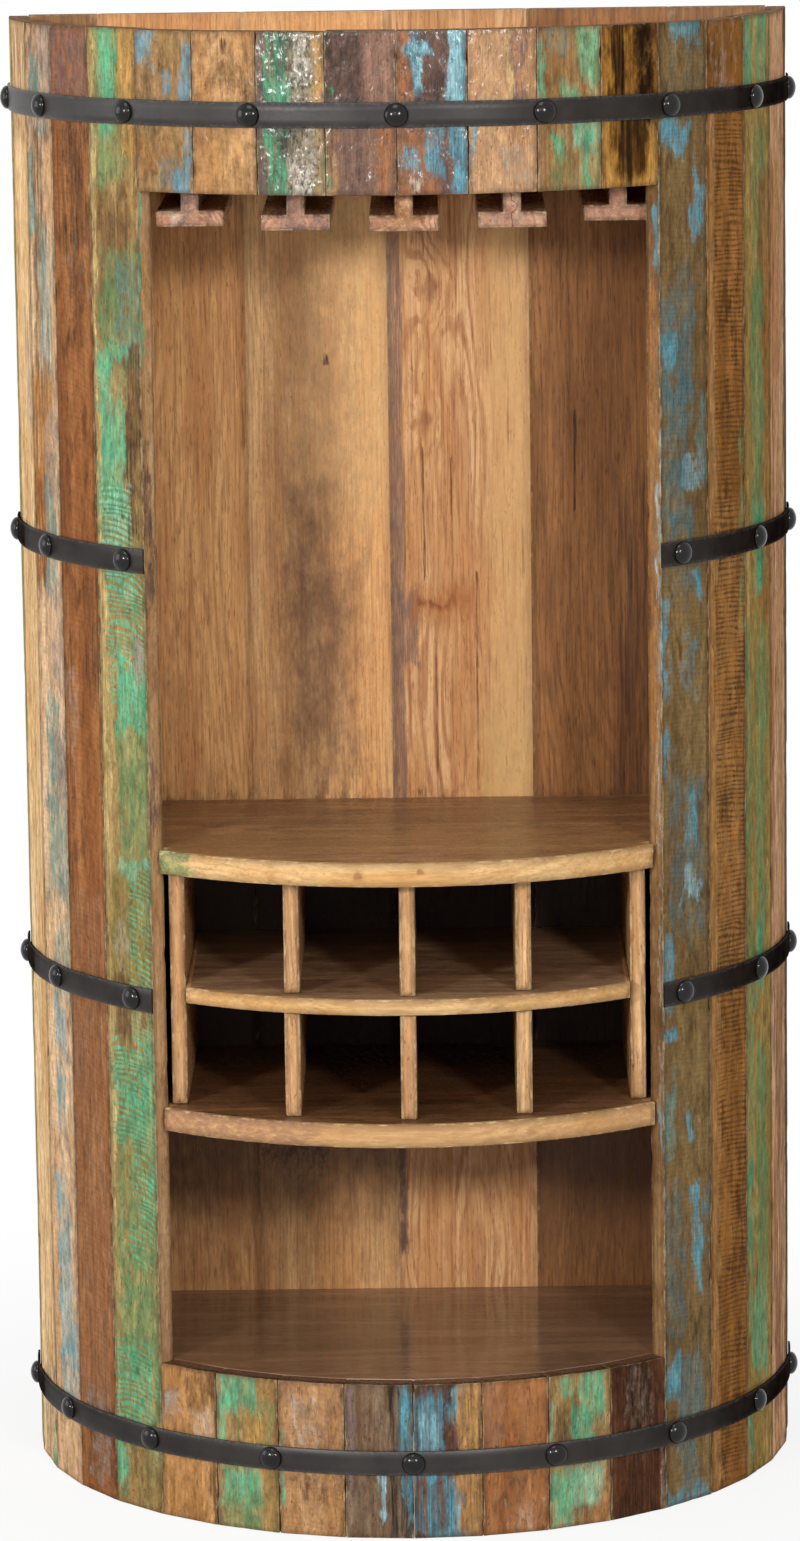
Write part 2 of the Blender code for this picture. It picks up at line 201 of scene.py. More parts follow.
# Patterns in wood: millimetres across the grain and along it, and the noise's detail and roughness.
# Fibres, pores, pits and scratches are finer in real wood, and are drawn as coarse as they need to show.
PATTERNS = {
    "wander": (55, 420, 3.0, 0.5),
    "drift": (400, 520, 1.0, 0.5),
    "fibres": (2.4, 85, 4.0, 0.6),
    "pores": (1.5, 16, 1.0, 0.5),
    "tone": (26, 260, 3.0, 0.55),
    "blots": (15, 46, 7.0, 0.68),
    "pits": (3.2, 6, 3.0, 0.65),
    "mottle": (7, 17, 6.0, 0.66),
    "checks": (9, 75, 4.0, 0.55),
    "lumps": (8, 9, 3.0, 0.5),
    "outlines": (20, 48, 4.0, 0.6),
    "scratches": (1.6, 30, 4.0, 0.65),
    "flakes": (11, 26, 8.0, 0.72),
    "streaks": (4.2, 110, 5.0, 0.6),
    "saw_sway": (110, 26, 2.0, 0.5),
    "lacquer_pools": (11, 17, 2.0, 0.5),
}
GROWN_PATTERNS = ("wander", "drift", "fibres", "pores", "tone")
WEAR_PATTERNS = ("blots", "pits", "mottle", "checks", "lumps")
PAINT_PATTERNS = ("outlines", "scratches", "flakes", "streaks", "saw_sway")

# What paint breaks up into: a pattern, and the levels of it that leave no paint and all of it.
# Two more, chatter and sawn, are flake and cloud with the saw's arcs in them.
BREAKUPS = {
    "flake": ("flakes", 0.28, 0.72),
    "fleck": ("pits", 0.34, 0.66),
    "streak": ("streaks", 0.28, 0.72),
    "cloud": ("blots", 0.32, 0.68),
}

HEART_DEPTH_SQUARED = 0.0006            # the rings' heart lies about 24 mm behind the face
RING_WANDER = 0.060
RING_DRIFT = 0.150
KNOT_SHAPE = (1.0, 0.6, 1.0)            # knots are cut a little along the grain
KNOT_LOBE = 12                          # mm
KNOT_UNEVENNESS = 0.012
KNOT_BULGE = 1.6                        # the rings swell round a knot by this many of its radii
KNOT_SHADE = 0.55                       # how far its core is darkened
SEED_STEPS = (0.0, 0.731, 1.377)        # each seed takes its piece from another place in the wood

# Heights of the surface, as shares of a material's relief
BARE_WOOD = 0.6
FIBRE_DEPTH = -0.35
PAINT_THICKNESS = 0.5
SAW_DEPTH = -1.2
PIT_DEPTH = -0.8
CHECK_DEPTH = -1.0

PATCH_TAPER = 0.4                       # patches fade over a longer way at foot and head than at their sides
SAW_BREAK = 0.45                        # how strongly the saw's arcs break up paint
RUB_SPREAD = 1.6                        # how unevenly arrises are rubbed
LACQUER_RELIEF = 0.0026                 # brushed lacquer stands in smooth lumps
LACQUER_ROUGHNESS = 0.21
STEEL_CLOUD = 45                        # mm, cloudy tone of the blackening
STEEL_SCALE = 3.0                       # mm, drawn coarser than real scale so that it shows
RUBBED_STEEL = "5E5955"

# Settings that many nodes share, and the sockets of a node that lays one colour over another
SMOOTH = {"interpolation_type": "SMOOTHSTEP"}
TINT = {"out": 2, "data_type": "RGBA"}
SHARE, UNDER, OVER = 0, 6, 7


# Node trees

def linear(code):
    """An sRGB hex value as the linear colour that the shaders take."""
    shares = [channel / 255 for channel in bytes.fromhex(code)]
    channels = [share / 12.92 if share <= 0.04045 else ((share + 0.055) / 1.055) ** 2.4 for share in shares]
    return (*channels, 1.0)


def add(tree, kind, inputs=(), out=0, **settings):
    """Adds a node with its settings, values and links, and gives back one of its outputs, or the node."""
    made = tree.nodes.new(kind if kind.startswith("NodeGroup") else f"ShaderNode{kind}")
    for name, value in settings.items():
        setattr(made, name, value)
    for socket, value in dict(inputs).items():
        if isinstance(value, bpy.types.NodeSocket):
            tree.links.new(value, made.inputs[socket])
        else:
            made.inputs[socket].default_value = value
    return made if out is None else made.outputs[out]


def new_group(name, inputs, outputs):
    """An empty node group with its sockets, and the node that holds its inputs."""
    tree = bpy.data.node_groups.new(name, "ShaderNodeTree")
    for way, sockets in (("INPUT", inputs), ("OUTPUT", outputs)):
        for kind, names in sockets:
            for socket in names.split():
                tree.interface.new_socket(socket, in_out=way, socket_type=f"NodeSocket{kind}")
    return tree, add(tree, "NodeGroupInput", out=None).outputs


def wood_patterns(tree, place, names):
    """The named patterns in wood, each stretched along the grain."""
    made = {}
    for name in names:
        across, along, detail, roughness = PATTERNS[name]
        per_metre = (1000 / across, 1000 / across, 1000 / along)
        scaled = add(tree, "VectorMath", {0: place, 1: per_metre}, operation="MULTIPLY")
        made[name] = add(
            tree, "TexNoise", {"Vector": scaled, "Scale": 1.0, "Detail": detail, "Roughness": roughness}
        )
    return made


def grain_group():
    """Wood as it grew: growth rings that wander along the board, fibres, pores and slow changes of tone."""
    tree, given = new_group(
        "wood_grain",
        (("Vector", "Place"), ("Color", "Dark Mid Light"), ("Float", "Heart Ring Figure Fibre Swell")),
        (("Color", "Colour"), ("Float", "Height")),
    )
    pattern = wood_patterns(tree, given["Place"], GROWN_PATTERNS)

    # Rings round the heart, cut lengthwise
    parts = add(tree, "SeparateXYZ", {0: given["Place"]}, out=None).outputs
    off = add(tree, "Math", {0: parts[0], 1: given["Heart"]}, operation="SUBTRACT")
    square = add(tree, "Math", {0: off, 1: off, 2: HEART_DEPTH_SQUARED}, operation="MULTIPLY_ADD")
    reach = add(tree, "Math", {0: square, 1: 0.5}, operation="POWER")
    strayed = add(tree, "Math", {0: pattern["wander"], 1: RING_WANDER, 2: reach}, operation="MULTIPLY_ADD")
    climbed = add(tree, "Math", {0: pattern["drift"], 1: RING_DRIFT, 2: strayed}, operation="MULTIPLY_ADD")
    swollen = add(tree, "Math", {0: climbed, 1: given["Swell"]}, operation="ADD")
    count = add(tree, "Math", {0: swollen, 1: given["Ring"]}, operation="DIVIDE")
    phase = add(tree, "Math", {0: count, 1: 2 * math.pi}, operation="MULTIPLY")
    wave = add(tree, "Math", {0: phase}, operation="SINE")
    late = add(tree, "MapRange", {"Value": wave, "From Min": -0.2, "From Max": 1.0}, **SMOOTH)

    # Fibres, pores and broad tone
    fibre = add(tree, "MapRange", {"Value": pattern["fibres"], "From Min": 0.42, "From Max": 0.72}, **SMOOTH)
    pore = add(tree, "MapRange", {"Value": pattern["pores"], "From Min": 0.60, "From Max": 0.74}, **SMOOTH)
    tone = add(tree, "MapRange", {"Value": pattern["tone"], "From Min": 0.34, "From Max": 0.66}, **SMOOTH)

    colour = add(tree, "Mix", {SHARE: tone, UNDER: given["Mid"], OVER: given["Light"]}, **TINT)
    figure = add(tree, "Math", {0: tone, 1: given["Figure"]}, operation="MULTIPLY")
    for line, strength in ((late, figure), (fibre, given["Fibre"]), (pore, given["Fibre"])):
        share = add(tree, "Math", {0: line, 1: strength}, operation="MULTIPLY")
        colour = add(tree, "Mix", {SHARE: share, UNDER: colour, OVER: given["Dark"]}, **TINT)

    low = add(tree, "Math", {0: fibre, 1: FIBRE_DEPTH, 2: BARE_WOOD}, operation="MULTIPLY_ADD")
    lower = add(tree, "Math", {0: pore, 1: FIBRE_DEPTH, 2: low}, operation="MULTIPLY_ADD")
    add(tree, "NodeGroupOutput", {0: colour, 1: lower}, out=None)
    return tree


def patch_group():
    """A patch of paint or stain that has worn to a ragged edge. Cover is the share of it that is left."""
    tree, given = new_group(
        "worn_patch",
        (("Color", "Colour"), ("Float", "Height"), ("Color", "Paint"),
         ("Float", "X Z Breakup Left Right Foot Head Cover Ragged Soft Thin Mottle")),
        (("Color", "Colour"), ("Float", "Height")),
    )
    from_left = add(tree, "Math", {0: given["X"], 1: given["Left"]}, operation="SUBTRACT")
    from_right = add(tree, "Math", {0: given["Right"], 1: given["X"]}, operation="SUBTRACT")
    from_foot = add(tree, "Math", {0: given["Z"], 1: given["Foot"]}, operation="SUBTRACT")
    from_head = add(tree, "Math", {0: given["Head"], 1: given["Z"]}, operation="SUBTRACT")
    across = add(tree, "Math", {0: from_left, 1: from_right}, operation="MINIMUM")
    along = add(tree, "Math", {0: from_foot, 1: from_head}, operation="MINIMUM")
    eased = add(tree, "Math", {0: along, 1: PATCH_TAPER}, operation="MULTIPLY")
    inside = add(tree, "Math", {0: across, 1: eased}, operation="MINIMUM")
    share = add(tree, "Math", {0: given["Cover"], 1: 0.5}, operation="SUBTRACT")
    most = add(tree, "Math", {0: share, 1: given["Ragged"]}, operation="MULTIPLY")
    held = add(tree, "Math", {0: inside, 1: most}, operation="MINIMUM")
    spread = add(tree, "Math", {0: given["Breakup"], 1: 0.5}, operation="SUBTRACT")
    depth = add(tree, "Math", {0: spread, 1: given["Ragged"], 2: held}, operation="MULTIPLY_ADD")
    soft = add(tree, "Math", {0: given["Ragged"], 1: given["Soft"]}, operation="MULTIPLY")
    bare = add(tree, "Math", {0: soft, 1: -1.0}, operation="MULTIPLY")
    whole = add(tree, "MapRange", {"Value": depth, "From Min": bare, "From Max": soft}, **SMOOTH)
    mask = add(tree, "Math", {0: whole, 1: given["Thin"]}, operation="MULTIPLY")
    faded = add(tree, "VectorMath", {0: given["Paint"], "Scale": given["Mottle"]}, operation="SCALE")
    colour = add(tree, "Mix", {SHARE: mask, UNDER: given["Colour"], OVER: faded}, **TINT)
    height = add(tree, "Math", {0: mask, 1: PAINT_THICKNESS, 2: given["Height"]}, operation="MULTIPLY_ADD")
    add(tree, "NodeGroupOutput", {0: colour, 1: height}, out=None)
    return tree


def knot_group():
    """A knot: the rings swell round it, and its core is dark."""
    tree, given = new_group(
        "knot", (("Float", "X Z Across Height Radius Swell Core"),), (("Float", "Swell Core"),)
    )
    side = add(tree, "Math", {0: given["X"], 1: given["Across"]}, operation="SUBTRACT")
    rise = add(tree, "Math", {0: given["Z"], 1: given["Height"]}, operation="SUBTRACT")
    offset = add(tree, "CombineXYZ", {0: side, 1: rise})
    oval = add(tree, "VectorMath", {0: offset, 1: KNOT_SHAPE}, operation="MULTIPLY")
    away = add(tree, "VectorMath", {0: oval}, out=1, operation="LENGTH")
    lobes = add(tree, "TexNoise", {"Vector": offset, "Scale": 1000 / KNOT_LOBE, "Detail": 3.0})
    uneven = add(tree, "Math", {0: lobes, 1: KNOT_UNEVENNESS, 2: away}, operation="MULTIPLY_ADD")
    evened = add(tree, "Math", {0: uneven, 1: KNOT_UNEVENNESS / 2}, operation="SUBTRACT")
    share = add(tree, "Math", {0: evened, 1: given["Radius"]}, operation="DIVIDE")
    near = add(
        tree, "MapRange", {"Value": share, "From Min": 4.0, "From Max": 0.0},
        interpolation_type="SMOOTHERSTEP",
    )
    bulge = add(tree, "Math", {0: given["Radius"], 1: KNOT_BULGE}, operation="MULTIPLY")
    swell = add(tree, "Math", {0: near, 1: bulge, 2: given["Swell"]}, operation="MULTIPLY_ADD")
    core = add(tree, "MapRange", {"Value": share, "From Min": 1.2, "From Max": 0.4}, **SMOOTH)
    most = add(tree, "Math", {0: core, 1: given["Core"]}, operation="MAXIMUM")
    add(tree, "NodeGroupOutput", {0: swell, 1: most}, out=None)
    return tree


GRAIN = grain_group()
PATCH = patch_group()
KNOT = knot_group()


def new_material(name):
    """An empty node material and its tree."""
    material = bpy.data.materials.new(name)
    material.use_nodes = True
    material.node_tree.nodes.clear()
    return material, material.node_tree


def timber(name, tones, seed, patches=(), knots=(), half_width=0.0347, grain="XYZ", saw_marks=0.0,
           speckle=0.2, ring=0.009, figure=0.5, fibre=0.22, heart=0.0, roughness=(0.16, 0.34), worn="CDB58C",
           wear=0.35, grime=0.5, mottling=0.28, stain=0.6, cracks=0.5, relief=0.0006, ripples=2.0, sheen=0.2,
           lacquer=0.0, wander=LONG_WANDER, saw=LEFT_SAW):
    """Old timber, sawn, painted once or more, worn bare and waxed: grain shows, and paint is left in patches.

    Grain names the axes of the piece that run across its face, into it and along its fibres. Ring is the
    width of a growth ring, and relief the height of the surface. The rest say how strongly each thing shows.
    """
    material, tree = new_material(name)
    own = add(tree, "TexCoord", out="Object")
    parts = add(tree, "SeparateXYZ", {0: own}, out=None).outputs
    x, depth, z = (parts[letter] for letter in grain)
    lengthwise = add(tree, "CombineXYZ", {0: x, 1: depth, 2: z})
    start = tuple(seed * step for step in SEED_STEPS)
    place = add(tree, "VectorMath", {0: lengthwise, 1: start}, operation="ADD")
    painted = bool(patches or saw_marks)
    pattern = wood_patterns(tree, place, WEAR_PATTERNS + (PAINT_PATTERNS if painted else ()))
    dark, grimy = linear(tones.dark), linear(GRIME)

    # The bare wood with its knots
    swell, core = 0.0, 0.0
    for knot in knots:
        knotted = add(
            tree, "Group",
            {"X": x, "Z": z, "Across": knot.across * half_width, "Height": knot.height, "Radius": knot.radius,
             "Swell": swell, "Core": core},
            out=None, node_tree=KNOT,
        ).outputs
        swell, core = knotted["Swell"], knotted["Core"]
    wood = add(
        tree, "Group",
        {"Place": place, "Dark": dark, "Mid": linear(tones.mid), "Light": linear(tones.light),
         "Heart": heart, "Ring": ring, "Figure": figure, "Fibre": fibre, "Swell": swell},
        out=None, node_tree=GRAIN,
    ).outputs
    colour = wood["Colour"]
    height = add(tree, "Math", {0: wood["Height"], 1: fibre}, operation="MULTIPLY")
    if knots:
        heartwood = add(tree, "Math", {0: core, 1: KNOT_SHADE}, operation="MULTIPLY")
        colour = add(tree, "Mix", {SHARE: heartwood, UNDER: colour, OVER: linear(KNOT_CORE)}, **TINT)

    # Blotches where the wood has taken up dirt and oil
    stained = add(
        tree, "MapRange", {"Value": pattern["blots"], "From Min": 0.50, "From Max": 0.68, "To Max": stain},
        **SMOOTH,
    )
    colour = add(tree, "Mix", {SHARE: stained, UNDER: colour, OVER: dark}, **TINT)

    if painted:
        # How outlines of paint wander, where it has thinned along the fibres, and where it has faded
        shift = add(
            tree, "VectorMath",
            {0: pattern["outlines"].node.outputs["Color"], 1: (4 * wander[0], 0.0, 4 * wander[1]),
             2: (-2 * wander[0], 0.0, -2 * wander[1])},
            operation="MULTIPLY_ADD",
        )
        astray = add(tree, "SeparateXYZ", {0: shift}, out=None).outputs
        patch_x = add(tree, "Math", {0: x, 1: astray[0]}, operation="ADD")
        patch_z = add(tree, "Math", {0: z, 1: astray[2]}, operation="ADD")
        thin = add(
            tree, "MapRange",
            {"Value": pattern["scratches"], "From Min": 0.40, "From Max": 0.66, "To Min": 0.95,
             "To Max": 0.35},
            **SMOOTH,
        )
        faded = add(
            tree, "MapRange",
            {"Value": pattern["flakes"], "From Min": 0.32, "From Max": 0.68, "To Min": 1.15, "To Max": 0.60},
        )

        # What the paint has broken up into, also along the arcs that the saw left
        breakups = {}
        for breakup, (kind, none, whole) in BREAKUPS.items():
            breakups[breakup] = add(
                tree, "MapRange", {"Value": pattern[kind], "From Min": none, "From Max": whole}, clamp=False
            )
        bend = add(tree, "Math", {0: x, 1: 1 / (2 * saw.radius), 2: saw.tilt}, operation="MULTIPLY_ADD")
        climb = add(tree, "Math", {0: x, 1: bend, 2: z}, operation="MULTIPLY_ADD")
        uneven = add(tree, "Math", {0: pattern["saw_sway"], 1: saw.stray, 2: climb}, operation="MULTIPLY_ADD")
        turns = add(tree, "Math", {0: uneven, 1: 2 * math.pi / saw.pitch}, operation="MULTIPLY")
        arcs = add(tree, "Math", {0: turns}, operation="SINE")
        bite = add(
            tree, "MapRange", {"Value": pattern["blots"], "From Min": 0.62, "From Max": 0.44, "To Max": 0.9},
            **SMOOTH,
        )
        cuts = add(tree, "Math", {0: arcs, 1: bite, 2: breakups["flake"]}, operation="MULTIPLY_ADD")
        breakups["chatter"] = cuts
        breakups["sawn"] = add(
            tree, "Math", {0: arcs, 1: SAW_BREAK, 2: breakups["cloud"]}, operation="MULTIPLY_ADD"
        )

    for patch in patches:
        is_paint = patch.soft < STAIN_SOFTNESS
        layer = add(
            tree, "Group",
            {"Colour": colour, "Height": height, "Paint": linear(patch.colour), "X": patch_x, "Z": patch_z,
             "Breakup": breakups[patch.breakup], "Left": patch.left * half_width,
             "Right": patch.right * half_width, "Foot": patch.foot, "Head": patch.head,
             "Cover": patch.cover, "Ragged": patch.ragged, "Soft": patch.soft,
             "Thin": thin if is_paint else 1.0, "Mottle": faded if is_paint else 1.0},
            out=None, node_tree=PATCH,
        ).outputs
        colour, height = layer["Colour"], layer["Height"]

    # Saw marks, pits and fine checks along the grain are dark and cut into the surface
    hollows = []
    if saw_marks:
        marks = add(
            tree, "MapRange", {"Value": cuts, "From Min": 0.55, "From Max": 1.0, "To Max": saw_marks},
            **SMOOTH,
        )
        hollows.append((marks, dark, SAW_DEPTH))
    pitted = add(
        tree, "MapRange", {"Value": pattern["pits"], "From Min": 0.58, "From Max": 0.70, "To Max": speckle},
        **SMOOTH,
    )
    hollows.append((pitted, dark, PIT_DEPTH))
    middle = add(tree, "Math", {0: pattern["checks"], 1: 0.5}, operation="SUBTRACT")
    away = add(tree, "Math", {0: middle}, operation="ABSOLUTE")
    line = add(tree, "MapRange", {"Value": away, "From Min": 0.016, "From Max": 0.004}, **SMOOTH)
    dry = add(
        tree, "MapRange", {"Value": pattern["mottle"], "From Min": 0.48, "From Max": 0.60, "To Max": cracks},
        **SMOOTH,
    )
    check = add(tree, "Math", {0: line, 1: dry}, operation="MULTIPLY")
    hollows.append((check, grimy, CHECK_DEPTH))
    for hollow, shade, drop in hollows:
        colour = add(tree, "Mix", {SHARE: hollow, UNDER: colour, OVER: shade}, **TINT)
        height = add(tree, "Math", {0: hollow, 1: drop, 2: height}, operation="MULTIPLY_ADD")

    # Mottled tone, and a surface that is not quite flat
    mottle = add(
        tree, "MapRange",
        {"Value": pattern["mottle"], "From Min": 0.3, "From Max": 0.7, "To Min": 1 - mottling,
         "To Max": 1 + mottling},
    )
    colour = add(tree, "VectorMath", {0: colour, "Scale": mottle}, operation="SCALE")
    height = add(tree, "Math", {0: pattern["lumps"], 1: ripples, 2: height}, operation="MULTIPLY_ADD")

    # Dirt along the arrises, and places where they are rubbed back to pale wood
    edge = add(tree, "Attribute", out="Fac", attribute_name="edge")
    dirty = add(tree, "Math", {0: edge, 1: grime}, operation="MULTIPLY")
    colour = add(tree, "Mix", {SHARE: dirty, UNDER: colour, OVER: grimy}, **TINT)
    rubbed = add(tree, "Math", {0: pattern["mottle"], 1: RUB_SPREAD, 2: edge}, operation="MULTIPLY_ADD")
    worn_off = add(
        tree, "MapRange", {"Value": rubbed, "From Min": 1.70, "From Max": 2.0, "To Max": wear}, **SMOOTH
    )
    colour = add(tree, "Mix", {SHARE: worn_off, UNDER: colour, OVER: linear(worn)}, **TINT)

    # Wax all over, and brushed lacquer on the pieces that have it
    shine = add(
        tree, "MapRange",
        {"Value": pattern["pits"], "From Min": 0.3, "From Max": 0.7, "To Min": roughness[0],
         "To Max": roughness[1]},
    )
    normal = add(tree, "Bump", {"Strength": 1.0, "Distance": relief, "Height": height})
    surface = {"Base Color": colour, "Roughness": shine, "Normal": normal, "Specular IOR Level": sheen}
    if lacquer:
        pools = wood_patterns(tree, place, ("lacquer_pools",))["lacquer_pools"]
        brushed = add(tree, "Bump", {"Strength": 1.0, "Distance": LACQUER_RELIEF, "Height": pools})
        surface.update({"Coat Weight": lacquer, "Coat Roughness": LACQUER_ROUGHNESS, "Coat Normal": brushed})
    shader = add(tree, "BsdfPrincipled", surface)
    add(tree, "OutputMaterial", {"Surface": shader}, out=None)
    return material


def blackened_steel(name, tint, roughness, relief, sheen, polish=None):
    """Mild steel, blackened and waxed: a dark satin grey with cloudy tone and a fine scale.

    Polish says where round the front the wax is brightest, and how far from there it has gone dull.
    """
    material, tree = new_material(name)
    own = add(tree, "TexCoord", out="Object")
    clouds, scale = (
        add(tree, "TexNoise", {"Vector": own, "Scale": 1000 / size, "Detail": detail, "Roughness": 0.6})
        for size, detail in ((STEEL_CLOUD, 4.0), (STEEL_SCALE, 3.0))
    )
    cloudy = add(tree, "MapRange", {"Value": clouds, "From Min": 0.3, "From Max": 0.7}, **SMOOTH)
    colour = add(tree, "Mix", {SHARE: cloudy, UNDER: linear(tint[0]), OVER: linear(tint[1])}, **TINT)
    edge = add(tree, "Attribute", out="Fac", attribute_name="edge")
    rubbed = add(tree, "Math", {0: scale, 1: edge}, operation="MULTIPLY")
    worn = add(tree, "MapRange", {"Value": rubbed, "From Min": 0.35, "From Max": 0.65, "To Max": 0.5})
    colour = add(tree, "Mix", {SHARE: worn, UNDER: colour, OVER: linear(RUBBED_STEEL)}, **TINT)
    shine = add(
        tree, "MapRange",
        {"Value": scale, "From Min": 0.3, "From Max": 0.7, "To Min": roughness[0], "To Max": roughness[1]},
    )
    normal = add(tree, "Bump", {"Strength": 1.0, "Distance": relief, "Height": scale})
    if polish:
        brightest, reach = polish
        parts = add(tree, "SeparateXYZ", {0: own}, out=None).outputs
        off = add(tree, "Math", {0: parts["X"], 1: brightest}, operation="SUBTRACT")
        square = add(tree, "Math", {0: off, 1: off}, operation="MULTIPLY")
        fall = -sheen / reach ** 2
        sheen = add(tree, "Math", {0: square, 1: fall, 2: sheen}, operation="MULTIPLY_ADD", use_clamp=True)
    surface = {"Base Color": colour, "Roughness": shine, "Normal": normal, "Specular IOR Level": sheen}
    shader = add(tree, "BsdfPrincipled", surface)
    add(tree, "OutputMaterial", {"Surface": shader}, out=None)
    return material


# Mesh forms

# A point of a section: its place, the way out of the wood, its corner's rounding and the way insets take
RingPoint = namedtuple("RingPoint", "place out rounding mitre")


class Form:
    """Points and faces of one piece, gathered before they become a mesh."""

    def __init__(self):
        self.points = []
        self.edges = []
        self.faces = []
        self.slots = []
        self.flat = []

    def loft(self, loops, edge_rows, sides, cap, flat_caps=True, rim_rows=0):
        """Joins closed loops of points with quads and closes both ends. The rim rows take the caps' slot."""
        start = len(self.points)
        size = len(loops[0])
        for loop, values in zip(loops, edge_rows):
            self.points.extend(loop)
            self.edges.extend(values)
        for row in range(len(loops) - 1):
            low = start + row * size
            rim = row < rim_rows or row >= len(loops) - 1 - rim_rows
            for step in range(size):
                after = (step + 1) % size
                self.faces.append((low + step, low + after, low + size + after, low + size + step))
                self.slots.append(cap if rim else sides[step])
                self.flat.append(False)
        last = start + (len(loops) - 1) * size
        self.faces.append(tuple(range(start + size - 1, start - 1, -1)))
        self.faces.append(tuple(range(last, last + size)))
        self.slots.extend((cap, cap))
        self.flat.extend((flat_caps, flat_caps))

    def piece(self, name, materials, slot, replaced, place):
        """The finished object, which stands for its solid and rides with it."""
        mesh = bpy.data.meshes.new(name)
        mesh.from_pydata(self.points, [], self.faces)
        mesh.shade_smooth()
        mesh.polygons.foreach_set("material_index", self.slots)
        mesh.polygons.foreach_set("use_smooth", [not flat for flat in self.flat])
        edge = mesh.attributes.new("edge", "FLOAT", "POINT")
        edge.data.foreach_set("value", self.edges)
        mesh.set_sharp_from_angle(angle=CREASE)
        for material in materials:
            mesh.materials.append(material)
        made = bpy.data.objects.new(name, mesh)
        bpy.context.scene.collection.objects.link(made)
        made.matrix_world = place
        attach(made, "root")
        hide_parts(replaced)


def rounded_ring(corners, radius, spacing):
    """Points round a section, anticlockwise, with its sharp corners rounded and the rest left as they are."""
    ring = []
    count = len(corners)
    aheads = [(corners[(index + 1) % count] - corners[index]).normalized() for index in range(count)]
    turns = [-aheads[index - 1].angle_signed(aheads[index]) for index in range(count)]
    cuts = [radius * math.tan(turn / 2) if turn > SHARP_TURN else 0.0 for turn in turns]
    for index, corner in enumerate(corners):
        after = (index + 1) % count
        came = Vector((aheads[index - 1].y, -aheads[index - 1].x))
        outward = Vector((aheads[index].y, -aheads[index].x))
        mitre = (came + outward) / (1 + came.dot(outward))
        if cuts[index]:
            middle = corner - aheads[index - 1] * cuts[index] - came * radius
            first = math.atan2(came.y, came.x)
            for step in range(ARRIS_STEPS + 1):
                angle = first + turns[index] * step / ARRIS_STEPS
                out = Vector((math.cos(angle), math.sin(angle)))
                ring.append(RingPoint(middle + out * radius, out, radius, mitre))
        else:
            ring.append(RingPoint(corner, mitre.normalized(), 0.0, mitre))
        start = corner + aheads[index] * cuts[index]
        end = corners[after] - aheads[index] * cuts[after]
        steps = max(1, round((end - start).length / spacing))
        for step in range(1, steps):
            ring.append(RingPoint(start.lerp(end, step / steps), outward, 0.0, outward))
    return ring


def length_rows(low, high, spacing, end_radius):
    """Heights along a length of timber, with its ends rounded: height, inset and how much it is an end."""
    eased = END_EASE * end_radius
    rows = [
        (low, end_radius + RIM_WIDTH, 0.0), (low, end_radius, 1.0),
        (low + eased, eased, 1.0), (low + end_radius, 0.0, LAST_ROW_SHARE),
    ]
    steps = max(1, round((high - low - 2 * end_radius) / spacing))
    for step in range(1, steps):
        rows.append((low + end_radius + (high - low - 2 * end_radius) * step / steps, 0.0, 0.0))
    rows += [
        (high - end_radius, 0.0, LAST_ROW_SHARE), (high - eased, eased, 1.0),
        (high, end_radius, 1.0), (high, end_radius + RIM_WIDTH, 0.0),
    ]
    return rows


def add_length(form, ring, rows, push, side_slot, cap_slot, tilt=0.0, rim_rows=0):
    """A length of timber: a section pushed in by its wear at every height."""
    deepest = max(inset for z, inset, end in rows)
    loops = []
    edge_rows = []
    for z, inset, end in rows:
        loop = []
        for point in ring:
            depth = inset + push(point, z)
            rounded = min(depth, point.rounding)
            spot = point.place - point.out * rounded - point.mitre * (depth - rounded)
            loop.append((*spot, z + tilt * spot.x * max(0.0, z / HEIGHT) ** RIM_TILT_POWER))
        loops.append(loop)
        edge_rows.append([0.0 if inset == deepest else max(float(point.rounding > 0), end) for point in ring])
    form.loft(loops, edge_rows, [side_slot(point) for point in ring], cap_slot, rim_rows=rim_rows)


def hand_worn(seed, proud=0.0, wave=0.0, dents=0.0, chips=0.0):
    """How far a point of a piece is pushed in: slow waves, dents, and chips out of the arrises.

    The factors of the seed keep the three noises apart.
    """
    def push(point, z):
        facing = max(0.0, -point.out.y)
        across = point.place.x
        slow = noise.noise((across / WAVE_SIZE[0] + seed, seed * 1.7, z / WAVE_SIZE[1])) * wave
        dent = noise.noise((across / DENT_SIZE[0], seed * 2.3, z / DENT_SIZE[1]))
        chip = noise.noise((across / CHIP_SIZE[0] + seed * 3.1, seed, z / CHIP_SIZE[1]))
        dented = max(0.0, dent - DENT_LEVEL) * dents
        chipped = max(0.0, chip - CHIP_LEVEL) * chips
        return max(-MOST_PROUD, (slow + dented - proud) * facing + chipped * (point.rounding > 0))
    return push


# Places in the frame

def turned(angle):
    """Where a piece stands that was drawn at the front of the barrel and turned about its axis."""
    return Matrix.Translation((0, AXIS_Y, 0)) @ Matrix.Rotation(angle, 4, "Z")


def grown(corners, reach):
    """A section with each of its sides moved outwards."""
    made = []
    for index, corner in enumerate(corners):
        back = (corner - corners[index - 1]).normalized()
        ahead = (corners[(index + 1) % len(corners)] - corner).normalized()
        came = Vector((back.y, -back.x))
        outward = Vector((ahead.y, -ahead.x))
        made.append(corner + (came + outward) * reach / (1 + came.dot(outward)))
    return made


